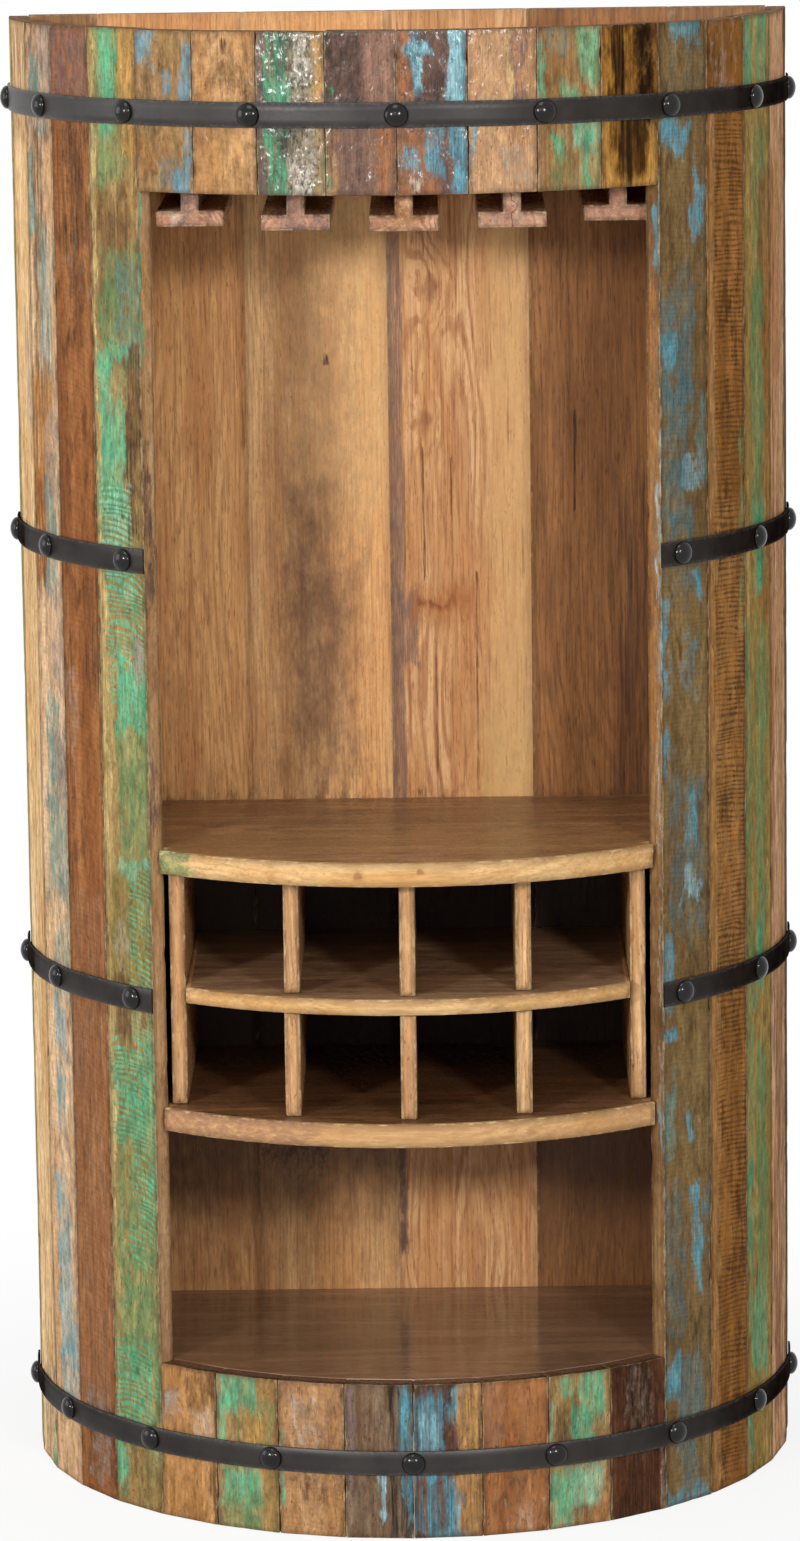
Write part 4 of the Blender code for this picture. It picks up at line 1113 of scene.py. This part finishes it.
BASE_STAVES = (
    Finish(Tones("6A4524", "A0703E", "B98B58"), (
        Patch(UMBER, 0.0, 0.9, 0.125, 0.16, 0.5, 0.010),
        Patch(MAUVE, -0.9, -0.4, 0.105, 0.13, 0.5, 0.008),
        Patch(CHALK, 0.1, 0.95, 0.075, 0.115, 0.42, 0.008),
        Patch(CHALK, -0.8, -0.3, 0.11, 0.125, 0.35, 0.006),
        Patch(UMBER, 0.85, 1.0, 0.0, 0.17, 0.7, 0.006, "streak"),
    ), saw_marks=0.05, speckle=0.35),
    Finish(HONEY, (
        Patch(OLIVE_PAINT, -1.0, 0.9, 0.0, 0.17, 0.5, 0.014, "streak"),
        Patch(MINT, -0.85, 0.3, 0.125, 0.165, 0.85, 0.010, "streak"),
        Patch(MINT, -0.95, -0.6, 0.08, 0.14, 0.85, 0.008, "streak"),
        Patch(GREEN, -0.2, 0.8, 0.08, 0.13, 0.45, 0.014),
        Patch(GOLD, -0.1, 0.6, 0.085, 0.115, 0.7, 0.014),
        Patch(MINT, -0.8, 0.4, 0.028, 0.065, 0.88, 0.012),
        Patch(GREEN, -0.7, 0.5, 0.0, 0.03, 0.6, 0.012),
        Patch(MINT, -1.0, -0.85, 0.0, 0.03, 0.8, 0.006, "streak"),
    ), speckle=0.3),
    Finish(HONEY, (
        Patch(MINT, -1.0, -0.82, 0.03, 0.11, 0.8, 0.006, "streak"),
        Patch(PINK_TAN, -0.9, 0.9, 0.06, 0.16, 0.4, 0.014),
        Patch(UMBER, -0.3, 0.3, 0.04, 0.055, 0.5, 0.008),
        Patch(CHALK, -0.4, 0.1, 0.10, 0.14, 0.25, 0.008),
    ), saw_marks=0.1, speckle=0.4),
    Finish(GREY_BROWN, (
        Patch(MAUVE, -1.0, -0.7, 0.06, 0.17, 0.7, 0.008, "streak"),
        Patch(UMBER, -0.6, 0.3, 0.0, 0.17, 0.55, 0.014, "streak"),
        Patch(CHAR, 0.30, 1.0, 0.0, 0.17, 0.75, 0.010, "streak"),
        Patch(SKY, 0.55, 0.85, 0.09, 0.16, 0.45, 0.007, "streak"),
        Patch(PALE_BLUE, 0.0, 0.15, 0.02, 0.07, 0.7, 0.004, "streak"),
        Patch(SKY, 0.8, 1.0, 0.02, 0.15, 0.75, 0.006, "streak"),
    ), speckle=0.5),
    Finish(DARK_BROWN, (
        Patch(CHAR, -1.0, 0.1, 0.0, 0.17, 0.5, 0.010, "streak"),
        Patch(SKY, -1.0, -0.1, 0.06, 0.145, 0.60, 0.008, "streak"),
        Patch(PALE_BLUE, -0.85, -0.3, 0.07, 0.13, 0.42, 0.006, "streak"),
        Patch(SKY, -1.0, -0.1, 0.01, 0.06, 0.40, 0.008, "streak"),
        Patch(SKY, 0.1, 0.4, 0.125, 0.16, 0.8, 0.008),
        Patch(TAN, 0.25, 1.0, 0.0, 0.165, 0.85, 0.010, "streak"),
        Patch(GOLD, 0.5, 1.0, 0.02, 0.14, 0.4, 0.012),
        Patch(SKY, 0.0, 0.3, 0.01, 0.06, 0.7, 0.008, "streak"),
        Patch(SLATE_BLUE, -0.5, 0.5, 0.0, 0.012, 0.7, 0.006),
    ), speckle=0.45),
    Finish(RED_BROWN, (
        Patch(RUST, -1.0, 1.0, 0.0, 0.17, 0.35, 0.014, "streak"),
        Patch(PINK_TAN, -1.0, -0.5, 0.10, 0.16, 0.5, 0.014),
        Patch(UMBER, -0.4, 0.4, 0.035, 0.06, 0.5, 0.010),
        Patch(CHALK, -0.3, 0.9, 0.0, 0.03, 0.2, 0.006),
    ), figure=0.3),
    Finish(HONEY, (
        Patch(OLIVE_PAINT, -1.0, 1.0, 0.07, 0.17, 0.55, 0.014, "streak"),
        Patch(MINT, -0.6, -0.2, 0.14, 0.16, 0.6, 0.008),
        Patch(MINT, 0.1, 0.80, 0.115, 0.165, 0.80, 0.010),
        Patch(UMBER, -0.6, 0.0, 0.085, 0.13, 0.6, 0.010),
        Patch(MINT, -0.2, 0.4, 0.075, 0.125, 0.9, 0.010),
        Patch(PALE_MINT, -0.95, -0.8, 0.08, 0.13, 0.7, 0.005, "streak"),
        Patch(MINT, -1.0, -0.1, 0.0, 0.06, 0.95, 0.012),
        Patch(PALE_MINT, -0.2, 0.7, 0.015, 0.06, 0.75, 0.014),
        Patch(RUST, -0.3, 0.9, 0.0, 0.02, 0.7, 0.010),
    ), speckle=0.3),
    Finish(Tones("24120A", "543320", "724A32"), (
        Patch("3A2216", -0.8, 0.7, 0.0, 0.17, 0.7, 0.014, "streak"),
        Patch(CHAR, -0.2, 0.4, 0.09, 0.16, 0.5, 0.012, "streak"),
        Patch(LILAC, -0.4, 0.5, 0.09, 0.15, 0.25, 0.008),
        Patch(CHALK, 0.85, 1.0, 0.0, 0.08, 0.4, 0.005),
    ), speckle=0.4, gloss=0.10),
)


# Material slots of a stave, and how squarely a side has to face a way to count as that side
PAINTED, INSIDE, ENDS, JAMB = range(4)
FACING = 0.7


def stave(node, angle, finish, seed, jamb_side=0):
    """One stave, drawn at the front of the barrel and turned to its place. The jamb faces the opening."""
    place = turned(angle)
    corners, low, high = section_of(node, place)
    half_width = max(corner.x for corner in corners)
    ring = rounded_ring(corners, ARRIS_RADIUS, STAVE_SPACING)
    cut_short = (0.5 + 0.5 * noise.noise((seed * 5.3, 0.4, 2.0))) * RIM_UNEVENNESS
    top = high - cut_short if high > HEIGHT - RIM_UNEVENNESS else high
    rows = length_rows(low, top, STAVE_SPACING, ARRIS_RADIUS)

    def side_slot(point):
        if point.out.y < -FACING:
            return PAINTED
        return JAMB if point.out.x * jamb_side > FACING else INSIDE

    proud = STAVE_STEP * noise.noise((seed * 2.9, 1.0, 0.0))
    tilt = RIM_TILT * noise.noise((seed, 0.0, 3.3))
    push = hand_worn(seed, proud, wave=STAVE_WAVE, dents=STAVE_DENTS, chips=CHIP_DEPTH)
    form = Form()
    add_length(form, ring, rows, push, side_slot, ENDS, tilt=tilt, rim_rows=2)

    # Reclaimed boards with old paint: dull where bare, with lacquer on the staves that face the front
    gloss = finish.gloss * math.cos(angle) ** 3
    paint = timber(
        f"reclaimed_{node}", finish.tones, seed, finish.patches, finish.knots, half_width=half_width,
        saw_marks=finish.saw_marks, speckle=finish.speckle, figure=finish.figure * 0.7, ring=0.012,
        fibre=0.3 * finish.figure, relief=0.0010, sheen=0.25 * gloss, lacquer=gloss,
        mottling=0.2 + 0.4 * finish.figure, stain=0.7, roughness=(0.3, 0.5),
        saw=LEFT_SAW if angle < 0 else RIGHT_SAW,
        wander=LONG_WANDER if high - low > HEIGHT / 2 else SHORT_WANDER,
    )
    jamb = LEFT_JAMB if jamb_side > 0 else RIGHT_JAMB
    ends = END_GRAIN if high > HEIGHT / 2 else LACQUERED_END
    form.piece(f"{node}_worn", (paint, STAVE_INSIDE, ends, jamb), slot_of(node), node, place)


def make_staves():
    """Side staves at full height, and the short staves above and below the opening."""
    for side, sign, finishes in (("left", -1, LEFT_STAVES), ("right", 1, RIGHT_STAVES)):
        for index, finish in enumerate(finishes):
            angle = sign * (OPENING_HALF_ANGLE + STAVE_ANGLE * (index + 0.5))
            jamb_side = -sign if index == 0 else 0
            stave(f"side_stave_{side}_{index + 1}", angle, finish, SIDE_SEED + sign * (index + 1), jamb_side)
    short = (("fascia_stave", FASCIA_SEED, FASCIA_STAVES), ("base_stave", BASE_SEED, BASE_STAVES))
    for kind, first_seed, finishes in short:
        for index, finish in enumerate(finishes):
            angle = -OPENING_HALF_ANGLE + STAVE_ANGLE * (index + 0.5)
            stave(f"{kind}_{index + 1}", angle, finish, first_seed + index)


# Back planks, from left to right: oiled, sanded boards with upright grain, with painted shade behind and
# under the rack

# Painted shade: a dark patch on the planks behind the rack's cells, where the shelves above them cast shade
PAINTED_SHADE_BEHIND_RACK = Patch("3A2412", -1.2, 1.2, 0.40, 0.68, 1.6, 0.02, soft=0.5)
# Painted shade: the planks below the rack are darkened, most at the top and fading towards the floor board
PAINTED_SHADE_UNDER_RACK = Patch("664630", -1.2, 1.2, 0.23, 0.60, 1.3, 0.04, soft=1.8)
PLANK_REAR = Tones("5A3C24", "96693F", "B48A5C")
BACK_PLANKS = (
    Finish(Tones("56371F", "835A37", "A17447"), (), speckle=0.10, figure=0.40),
    Finish(Tones("84482A", "D2945C", "F0B878"), (PAINTED_SHADE_UNDER_RACK, PAINTED_SHADE_BEHIND_RACK), speckle=0.08, figure=0.26),
    Finish(Tones("905838", "E0A468", "FAC688"), (
        PAINTED_SHADE_UNDER_RACK, PAINTED_SHADE_BEHIND_RACK,
        Patch("DCB078", -0.1, 1.0, 1.02, 1.34, 0.6, 0.05, soft=0.9),
        Patch("8A6242", -0.50, 0.20, 0.72, 1.22, 0.50, 0.04, soft=1.3),
        Patch("5E402A", -0.26, 0.04, 0.90, 0.99, 0.60, 0.02, soft=1.5),
        Patch("70503A", -0.22, 0.30, 0.77, 0.89, 0.50, 0.025, soft=1.5),
        Patch(CHAR, 0.09, 0.15, 1.146, 1.158, 0.9, 0.002),
        Patch("4A3424", -0.90, -0.10, 0.305, 0.330, 0.50, 0.010, "fleck", 0.8),
    ), speckle=0.22, figure=0.22),
    Finish(Tones("8C441C", "C68E5A", "E2B27E"), (
        PAINTED_SHADE_BEHIND_RACK,
        Patch("D4A66E", 0.45, 1.0, 0.68, 1.34, 0.75, 0.03, "streak", 0.5),
        Patch("8A6A58", -1.0, -0.80, 0.66, 1.30, 1.3, 0.005, "streak", 0.3),
        Patch("8A6A58", -1.0, -0.62, 0.83, 0.91, 1.2, 0.010, soft=0.3),
        Patch("8A4C22", -0.80, 0.90, 0.68, 1.34, 0.14, 0.005, "streak", 0.3),
        Patch("6E3C1A", -0.53, -0.50, 0.92, 1.07, 0.8, 0.002, "streak", 0.3),
        Patch("6E3C1A", 0.21, 0.24, 0.70, 0.93, 0.8, 0.002, "streak", 0.3),
        Patch("6E3C1A", -0.14, -0.11, 0.90, 1.05, 0.8, 0.002, "streak", 0.3),
        Patch("6E3C1A", -0.38, -0.35, 0.68, 0.88, 0.7, 0.002, "streak", 0.3),
        Patch("A9683A", -0.66, 0.16, 0.885, 0.905, 0.75, 0.010, soft=0.9),
        Patch("8A4E26", -0.62, -0.10, 0.893, 0.900, 0.80, 0.004, "streak", 0.5),
        Patch("D2A96E", 0.3, 1.0, 0.68, 0.76, 0.5, 0.03, soft=0.8),
        Patch("6E5244", -1.0, -0.88, 0.20, 0.40, 0.9, 0.006, soft=0.6),
    ), speckle=0.12, figure=0.55,
       knots=(Knot(-0.38, 1.227, 0.010), Knot(0.83, 1.204, 0.007), Knot(-0.48, 1.088, 0.008))),
    Finish(Tones("452915", "8A5A32", "AA7444"), (
        PAINTED_SHADE_UNDER_RACK, PAINTED_SHADE_BEHIND_RACK,
        Patch("3D2620", 0.35, 1.0, 0.68, 1.0, 0.4, 0.04, "streak", 0.7),
        Patch("3A2112", -0.39, -0.36, 1.00, 1.10, 0.8, 0.002, "streak", 0.3),
    ), speckle=0.08, figure=0.28),
    Finish(Tones("56371F", "8A5F3A", "A8794A"), (), speckle=0.10, figure=0.45),
)

FACE, END, REAR = range(3)              # material slots of a plank


def plank(node, finish, seed):
    """One plank of the back. It stands tight against the next, so no light comes through."""
    corners = section_of(node, Matrix.Identity(4))[0]
    left = min(corner.x for corner in corners)
    right = max(corner.x for corner in corners)
    place = Matrix.Translation(((left + right) / 2, AXIS_Y, 0))
    corners, low, high = section_of(node, place)
    ring = rounded_ring(corners, PLANK_ARRIS, PLANK_SPACING)
    rows = length_rows(low, high, PLANK_SPACING, ARRIS_RADIUS)

    def push(point, z):
        wave = noise.noise((point.place.x / PLANK_WAVE_SIZE[0] + seed, seed, z / PLANK_WAVE_SIZE[1]))
        return (1 + wave) * PLANK_WAVE * max(0.0, -point.out.y) - TIGHT * abs(point.out.x)

    form = Form()
    add_length(form, ring, rows, push, lambda point: REAR if point.out.y > FACING else FACE, END)

    # Oil brings out the figure and leaves a low, even sheen. The rear is rough from the saw and dull
    face = timber(
        f"oiled_{node}", finish.tones, seed, finish.patches, finish.knots, half_width=(right - left) / 2,
        speckle=finish.speckle, figure=finish.figure, ring=0.009, fibre=0.5, heart=0.03 * math.sin(seed),
        roughness=(0.34, 0.50), wear=0.25, grime=0.25, relief=0.0003, ripples=0.8, stain=0.25, mottling=0.12,
        cracks=0.3, wander=PLANK_WANDER,
    )
    rear = timber(
        f"sawn_rear_of_{node}", PLANK_REAR, seed + 0.5, half_width=(right - left) / 2, figure=0.3, ring=0.009,
        fibre=0.45, roughness=(0.45, 0.65), relief=0.0003, ripples=0.8, stain=0.3, mottling=0.15, sheen=0.1,
    )
    form.piece(f"{node}_oiled", (face, END_GRAIN, rear), slot_of(node), node, place)


# Shelves and rack

# Waxed faces of the shelves: mid brown with a soft shine, rubbed pale along the front edge, and darker below
WAXED_SHELF = {
    "grain": "YZX", "ring": 0.020, "figure": 0.35, "fibre": 0.4, "half_width": 1.0, "roughness": (0.24, 0.40),
    "relief": 0.0002, "wear": 0.9, "worn": "D9B27A",
}
SHELF_FACE = timber(
    "waxed_shelf_face", Tones("4A3420", "835D3C", "A87C53"), seed=50.0, **WAXED_SHELF,
    patches=(Patch("9A7348", -0.12, -0.02, -0.3, 0.3, 0.35, 0.03, "streak", 0.6),),
)
LOWER_SHELF_FACE = timber("dark_shelf_face", Tones("342214", "65452B", "835C3D"), seed=56.0, **WAXED_SHELF)

# Planed shelf edges: pale honey wood with small knots, nearly clean
SHELF_EDGE = timber(
    "planed_shelf_edge", Tones("85592F", "CC9B60", "E0B880"), seed=51.0, grain="ZYX", ring=0.010, figure=0.25,
    fibre=0.3, half_width=1.0, roughness=(0.34, 0.5), wear=0.6, worn="E0C391", speckle=0.12, mottling=0.12,
    stain=0.25, relief=0.0003, cracks=0.25,
    knots=(Knot(0.678, -0.05, 0.004), Knot(0.682, 0.012, 0.003), Knot(0.413, 0.12, 0.004)),
    patches=(
        Patch(GREEN, 0.66, 0.70, -0.250, -0.222, 0.8, 0.008),
        Patch("B4875A", 0.39, 0.43, -0.30, 0.30, 0.6, 0.02, "streak", 0.8),
        Patch("A07558", 0.39, 0.43, -0.26, -0.10, 0.6, 0.02, "streak", 0.5),
    ),
)

# Rack uprights: the same pale wood, with open fibres and a dark split
RACK_WOOD = timber(
    "planed_rack_board", Tones("80562F", "CA9763", "E6B884"), seed=52.0, ring=0.008, figure=0.35, fibre=0.5,
    speckle=0.25, wear=0.6, half_width=1.0, mottling=0.15, stain=0.3,
    patches=(
        Patch("AF7F5A", -0.25, 0.0, 0.40, 0.70, 0.4, 0.02, "streak", 0.5),
        Patch(CHAR, 0.226, 0.229, 0.445, 0.475, 0.9, 0.003, "streak"),
    ),
)

# Middle shelf of the rack: greyer, with a soft wax shine
RACK_SHELF_FACE = timber(
    "waxed_rack_shelf", Tones("543C28", "8C6B50", "AE8B68"), seed=53.0, grain="YZX", ring=0.018, figure=0.35,
    half_width=1.0, roughness=(0.26, 0.42), relief=0.0002,
)

# Floor board: a flat, glossy coat that mirrors the planks behind it
FLOOR_FACE = timber(
    "lacquered_floor_board", Tones("48301F", "7A583D", "946F51"), seed=54.0, grain="YZX", ring=0.030,
    figure=0.3, fibre=0.3, half_width=1.0, roughness=(0.05, 0.12), relief=0.0002, ripples=0.3, speckle=0.1,
    sheen=0.7, cracks=0.2, mottling=0.1, stain=0.3,
    patches=(Patch("5A4330", -0.180, -0.080, 0.12, 0.20, 0.5, 0.02, soft=0.8),),
)

# Top board: plain sawn wood, lightly waxed
TOP_FACE = timber(
    "sawn_top_board", Tones("563820", "8B6139", "A97C4C"), seed=55.0, grain="YZX", ring=0.020, figure=0.4,
    half_width=1.0,
)


def board(node, materials, side_slot, arris, spacing, seed):
    """A board in the place of its solid, with eased edges and a slightly worn front."""
    place = Matrix.Identity(4)
    corners, low, high = section_of(node, place)
    ring = rounded_ring(corners, arris, spacing)
    rows = length_rows(low, high, spacing, arris)
    push = hand_worn(seed, wave=BOARD_WAVE, dents=BOARD_DENTS, chips=CHIP_DEPTH)
    form = Form()
    add_length(form, ring, rows, push, lambda point: side_slot, 0)
    form.piece(f"{node}_worn", materials, slot_of(node), node, place)


def make_inside():
    """The back, the shelves, the bottle rack, and the two boards that keep their solids."""
    for index, finish in enumerate(BACK_PLANKS):
        plank(f"back_plank_{index + 1}", finish, PLANK_SEED + index)
    shelves = (
        ("upper_shelf", SHELF_FACE, SHELF_ARRIS),
        ("lower_shelf", LOWER_SHELF_FACE, SHELF_ARRIS),
        ("rack_mid_shelf", RACK_SHELF_FACE, RACK_SHELF_ARRIS),
    )
    for index, (node, face, arris) in enumerate(shelves):
        board(node, (face, SHELF_EDGE), 1, arris, BOARD_SPACING, SHELF_SEED + index)
    uprights = ["rack_end_left", "rack_end_right"]
    uprights += [f"rack_divider_{row}_{index}" for row in ("upper", "lower") for index in (1, 2, 3)]
    for index, node in enumerate(uprights):
        board(node, (RACK_WOOD,), 0, UPRIGHT_ARRIS, UPRIGHT_SPACING, UPRIGHT_SEED + index)
    for node, material in (("floor_board", FLOOR_FACE), ("top_board", TOP_FACE)):
        mesh = frame["nodes"][node].data
        mesh.materials.clear()
        mesh.materials.append(material)


# Glass rails: one piece of rosy hardwood each, milled to a T, waxed, with paint and stains on their ends

RAIL_TONES = Tones("6E4835", "B07E62", "CF9F7E")
RAIL_STAINS = (                         # two on each rail: colour, left, right, cover and ragged edge
    ((CHALK, -0.65, -0.25, 0.5, 0.010), (MAUVE, -0.3, 0.1, 0.6, 0.010)),
    ((MAUVE, -0.4, 0.3, 0.6, 0.014), (MAUVE, 0.6, 1.0, 0.6, 0.010)),
    ((TAN, -0.3, 0.3, 0.6, 0.012), (RUST, -1.0, 0.6, 0.4, 0.012)),
    ((CHAR, -0.02, 0.03, 1.0, 0.0012), (LILAC, -0.9, 0.9, 0.3, 0.012)),
    ((CHALK, 0.85, 1.0, 0.6, 0.008), (PINK_TAN, -0.8, 0.4, 0.5, 0.012)),
)


def make_rails():
    """Rails run from front to back, so their length is drawn along Z and laid down."""
    for index, stains in enumerate(RAIL_STAINS):
        node = f"glass_rail_{index + 1}"
        box_low, box_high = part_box(node)
        across = (box_low.x + box_high.x) / 2
        place = Matrix.Translation((across, 0, box_high.z)) @ Matrix.Rotation(-math.pi / 2, 4, "X")
        corners, low, high = section_of(node, place)
        ring = rounded_ring(corners, WORN_RAIL_ARRIS if index == 0 else RAIL_ARRIS, RAIL_SPACING)
        rows = length_rows(low, high, RAIL_ROW_SPACING, RAIL_END_ARRIS)
        seed = RAIL_SEED + index
        push = hand_worn(seed, chips=RAIL_CHIP_DEPTH)
        patches = [
            Patch(colour, left, right, -1, 1, cover=cover, ragged=ragged)
            for colour, left, right, cover, ragged in stains
        ]
        wood = timber(
            f"milled_{node}", RAIL_TONES, seed, patches,
            half_width=max(corner.x for corner in corners), ring=0.006, speckle=0.3, wear=0.4,
        )
        form = Form()
        add_length(form, ring, rows, push, lambda point: 0, 0)
        form.piece(f"{node}_milled", (wood,), slot_of(node), node, place)


# Hoops: bands bent round the barrel and pinned with dome-headed rivets

BAND_INNER = 0.4003
BAND_OUTER = 0.4023
BAND_EASE = 0.0006
BAND_STEPS_PER_TURN = 288
BAND_BEND = 0.0003                      # how far a band bulges and sags along its way
BAND_SAG = 0.0005
BENDS_PER_RADIAN = 9.0
SAGS_PER_RADIAN = 5.0
RIVET_SIDES = 28
RIVET_UNEVENNESS = 0.05
RIVET_LOBES = 0.8                       # how often a forged head goes in and out on its way round
RIVET_DOME = ((-0.0006, 0.0117), (0.0010, 0.0120), (0.0026, 0.0116), (0.0045, 0.0102), (0.0062, 0.0077),
              (0.0073, 0.0050), (0.0079, 0.0022), (0.0080, 0.0006))
FULL_RIVETS = (0, 21, 42, 63, 84, -21, -42, -63, -84)
SHORT_RIVETS = (44, 64, 84)


def add_rivet(form, degrees, seed):
    """One forged dome on a band, round the radius that points out there."""
    angle = math.radians(degrees)
    out = Vector((math.sin(angle), -math.cos(angle), 0))
    along = Vector((math.cos(angle), math.sin(angle), 0))
    loops = []
    for height, radius in RIVET_DOME:
        loop = []
        for side in range(RIVET_SIDES):
            turn = 2 * math.pi * side / RIVET_SIDES
            lobe = noise.noise((math.cos(turn) * RIVET_LOBES, math.sin(turn) * RIVET_LOBES, seed))
            reach = radius * min(1.0, 1 + RIVET_UNEVENNESS * lobe)
            point = out * (BAND_OUTER + height) + along * reach * math.cos(turn)
            loop.append((point.x, point.y, reach * math.sin(turn)))
        loops.append(loop)
    form.loft(loops, [[0.0] * RIVET_SIDES] * len(loops), [1] * RIVET_SIDES, 1, flat_caps=False)


def hoop(node, first, last, rivets, seed):
    """One hoop from its first angle to its last, in degrees from the front, with its rivets."""
    box_low, box_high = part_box(node)
    middle = (box_low.z + box_high.z) / 2
    half = (box_high.z - box_low.z) / 2
    eased = BAND_OUTER - BAND_EASE
    profile = (
        (BAND_OUTER, -half + BAND_EASE), (eased, -half), (BAND_INNER, -half), (BAND_INNER, half),
        (eased, half), (BAND_OUTER, half - BAND_EASE), (BAND_OUTER, half / 3), (BAND_OUTER, -half / 3),
    )
    worn = (1.0, 1.0, 0.0, 0.0, 1.0, 1.0, 0.0, 0.0)     # the points on the two outer edges are rubbed
    steps = round((last - first) * BAND_STEPS_PER_TURN / 360)
    loops = []
    for step in range(steps + 1):
        angle = math.radians(first + (last - first) * step / steps)
        bend = BAND_BEND * noise.noise((angle * BENDS_PER_RADIAN, seed, 0.0))
        sag = BAND_SAG * noise.noise((angle * SAGS_PER_RADIAN, seed, 4.0))
        loop = []
        for radius, z in profile:
            bent = radius + bend
            loop.append((bent * math.sin(angle), -bent * math.cos(angle), z + sag))
        loops.append(loop)
    form = Form()
    form.loft(loops, [worn] * len(loops), [0] * len(profile), 0)
    for index, degrees in enumerate(rivets):
        add_rivet(form, degrees, seed * 3 + index * 1.7)
    place = Matrix.Translation((0, AXIS_Y, middle))
    band = TOP_BAND_STEEL if node == "hoop_top" else BAND_STEEL
    form.piece(f"{node}_riveted", (band, RIVET_STEEL), slot_of(node), node, place)


def make_hoops():
    """Two full hoops, and two short ones on each side of the opening."""
    opening = math.degrees(OPENING_HALF_ANGLE)
    hoop("hoop_top", -90, 90, FULL_RIVETS, 1)
    hoop("hoop_bottom", -90, 90, FULL_RIVETS, 2)
    for seed, level in ((3, "upper"), (4, "lower")):
        hoop(f"hoop_{level}_right", opening, 90, SHORT_RIVETS, seed)
        hoop(f"hoop_{level}_left", -90, -opening, [-angle for angle in SHORT_RIVETS], seed + 2)


make_staves()
make_inside()
make_rails()
make_hoops()


# Floor, light and camera

FLOOR_REACH = 12.0
FLOOR_GAP = 0.0005
GLOW_NEAR = 0.35                        # the floor is whitened from here outwards
GLOW_FAR = 1.3
GLOW_LEAST = 0.85
WORLD_LIGHT = 0.29
WHITE = "FFFFFF"
FLOOR_WHITE = "F2F1EF"

# name, place, size, power in watts
SOFTBOXES = (
    ("front_softbox", (-0.8, -5.6, 2.7), 1.6, 24.0),
    ("left_softbox", (-2.72, -4.39, 2.15), 0.55, 116.0),
    ("right_softbox", (1.79, -4.87, 2.4), 0.55, 98.0),
    ("side_softbox", (-4.3, -0.55, 1.8), 2.2, 46.0),
    ("top_softbox", (-0.4, -1.5, 4.2), 1.6, 30.0),
)


def seen_directly(tree):
    """Rays that show the surround itself: from the camera, and off gloss or through glass."""
    rays = add(tree, "LightPath", out=None).outputs
    seen = add(tree, "Math", {0: rays["Is Camera Ray"], 1: rays["Is Glossy Ray"]}, operation="MAXIMUM")
    return add(tree, "Math", {0: seen, 1: rays["Is Transmission Ray"]}, operation="MAXIMUM")


def studio():
    """A pale floor, a white surround and soft light from both sides of the front, the left and above."""
    scene = bpy.context.scene
    scene.view_settings.view_transform = "Standard"

    # Matt white floor: it keeps the shadow under the cabinet and fades into the white surround
    mesh = bpy.data.meshes.new("studio_floor")
    corners = [(x * FLOOR_REACH, y * FLOOR_REACH, 0) for x, y in ((-1, -1), (1, -1), (1, 1), (-1, 1))]
    mesh.from_pydata(corners, [], [(0, 1, 2, 3)])
    floor = bpy.data.objects.new("studio_floor", mesh)
    scene.collection.objects.link(floor)
    floor.location.z = cad_low.z - FLOOR_GAP
    material, tree = new_material("matt_white_floor")
    own = add(tree, "TexCoord", out="Object")
    away = add(tree, "VectorMath", {0: own}, out=1, operation="LENGTH")
    far = add(
        tree, "MapRange", {"Value": away, "From Min": GLOW_NEAR, "From Max": GLOW_FAR, "To Min": GLOW_LEAST},
        **SMOOTH,
    )
    share = add(tree, "Math", {0: far, 1: seen_directly(tree)}, operation="MULTIPLY")
    matt = add(tree, "BsdfDiffuse", {"Color": linear(FLOOR_WHITE)})
    white = add(tree, "Emission", {"Color": linear(WHITE), "Strength": 1.0})
    mixed = add(tree, "MixShader", {0: share, 1: matt, 2: white})
    add(tree, "OutputMaterial", {"Surface": mixed}, out=None)
    mesh.materials.append(material)

    world = bpy.data.worlds.new("white_studio")
    scene.world = world
    world.use_nodes = True
    tree = world.node_tree
    tree.nodes.clear()
    level = add(tree, "MapRange", {"Value": seen_directly(tree), "To Min": WORLD_LIGHT, "To Max": 1.0})
    light = add(tree, "Background", {"Color": linear(WHITE), "Strength": level})
    add(tree, "OutputWorld", {"Surface": light}, out=None)

    aim = Vector((0.0, 0.0, HEIGHT / 2))
    for name, place, size, power in SOFTBOXES:
        lamp = bpy.data.lights.new(name, "AREA")
        lamp.shape = "SQUARE"
        lamp.size = size
        lamp.energy = power
        softbox = bpy.data.objects.new(name, lamp)
        scene.collection.objects.link(softbox)
        softbox.location = place
        softbox.rotation_euler = (aim - Vector(place)).to_track_quat("-Z", "Y").to_euler()

    camera = bpy.data.cameras.new("photo_camera")
    camera.lens = CAMERA_LENS
    camera.sensor_width = SENSOR
    eye = bpy.data.objects.new("photo_camera", camera)
    scene.collection.objects.link(eye)
    eye.matrix_world = (
        Matrix.Translation(CAMERA_PLACE)
        @ Matrix.Rotation(-CAMERA_YAW, 4, "Z")
        @ Matrix.Rotation(math.pi / 2 - CAMERA_PITCH, 4, "X")
        @ Matrix.Rotation(CAMERA_ROLL, 4, "Z")
    )
    scene.camera = eye


studio()
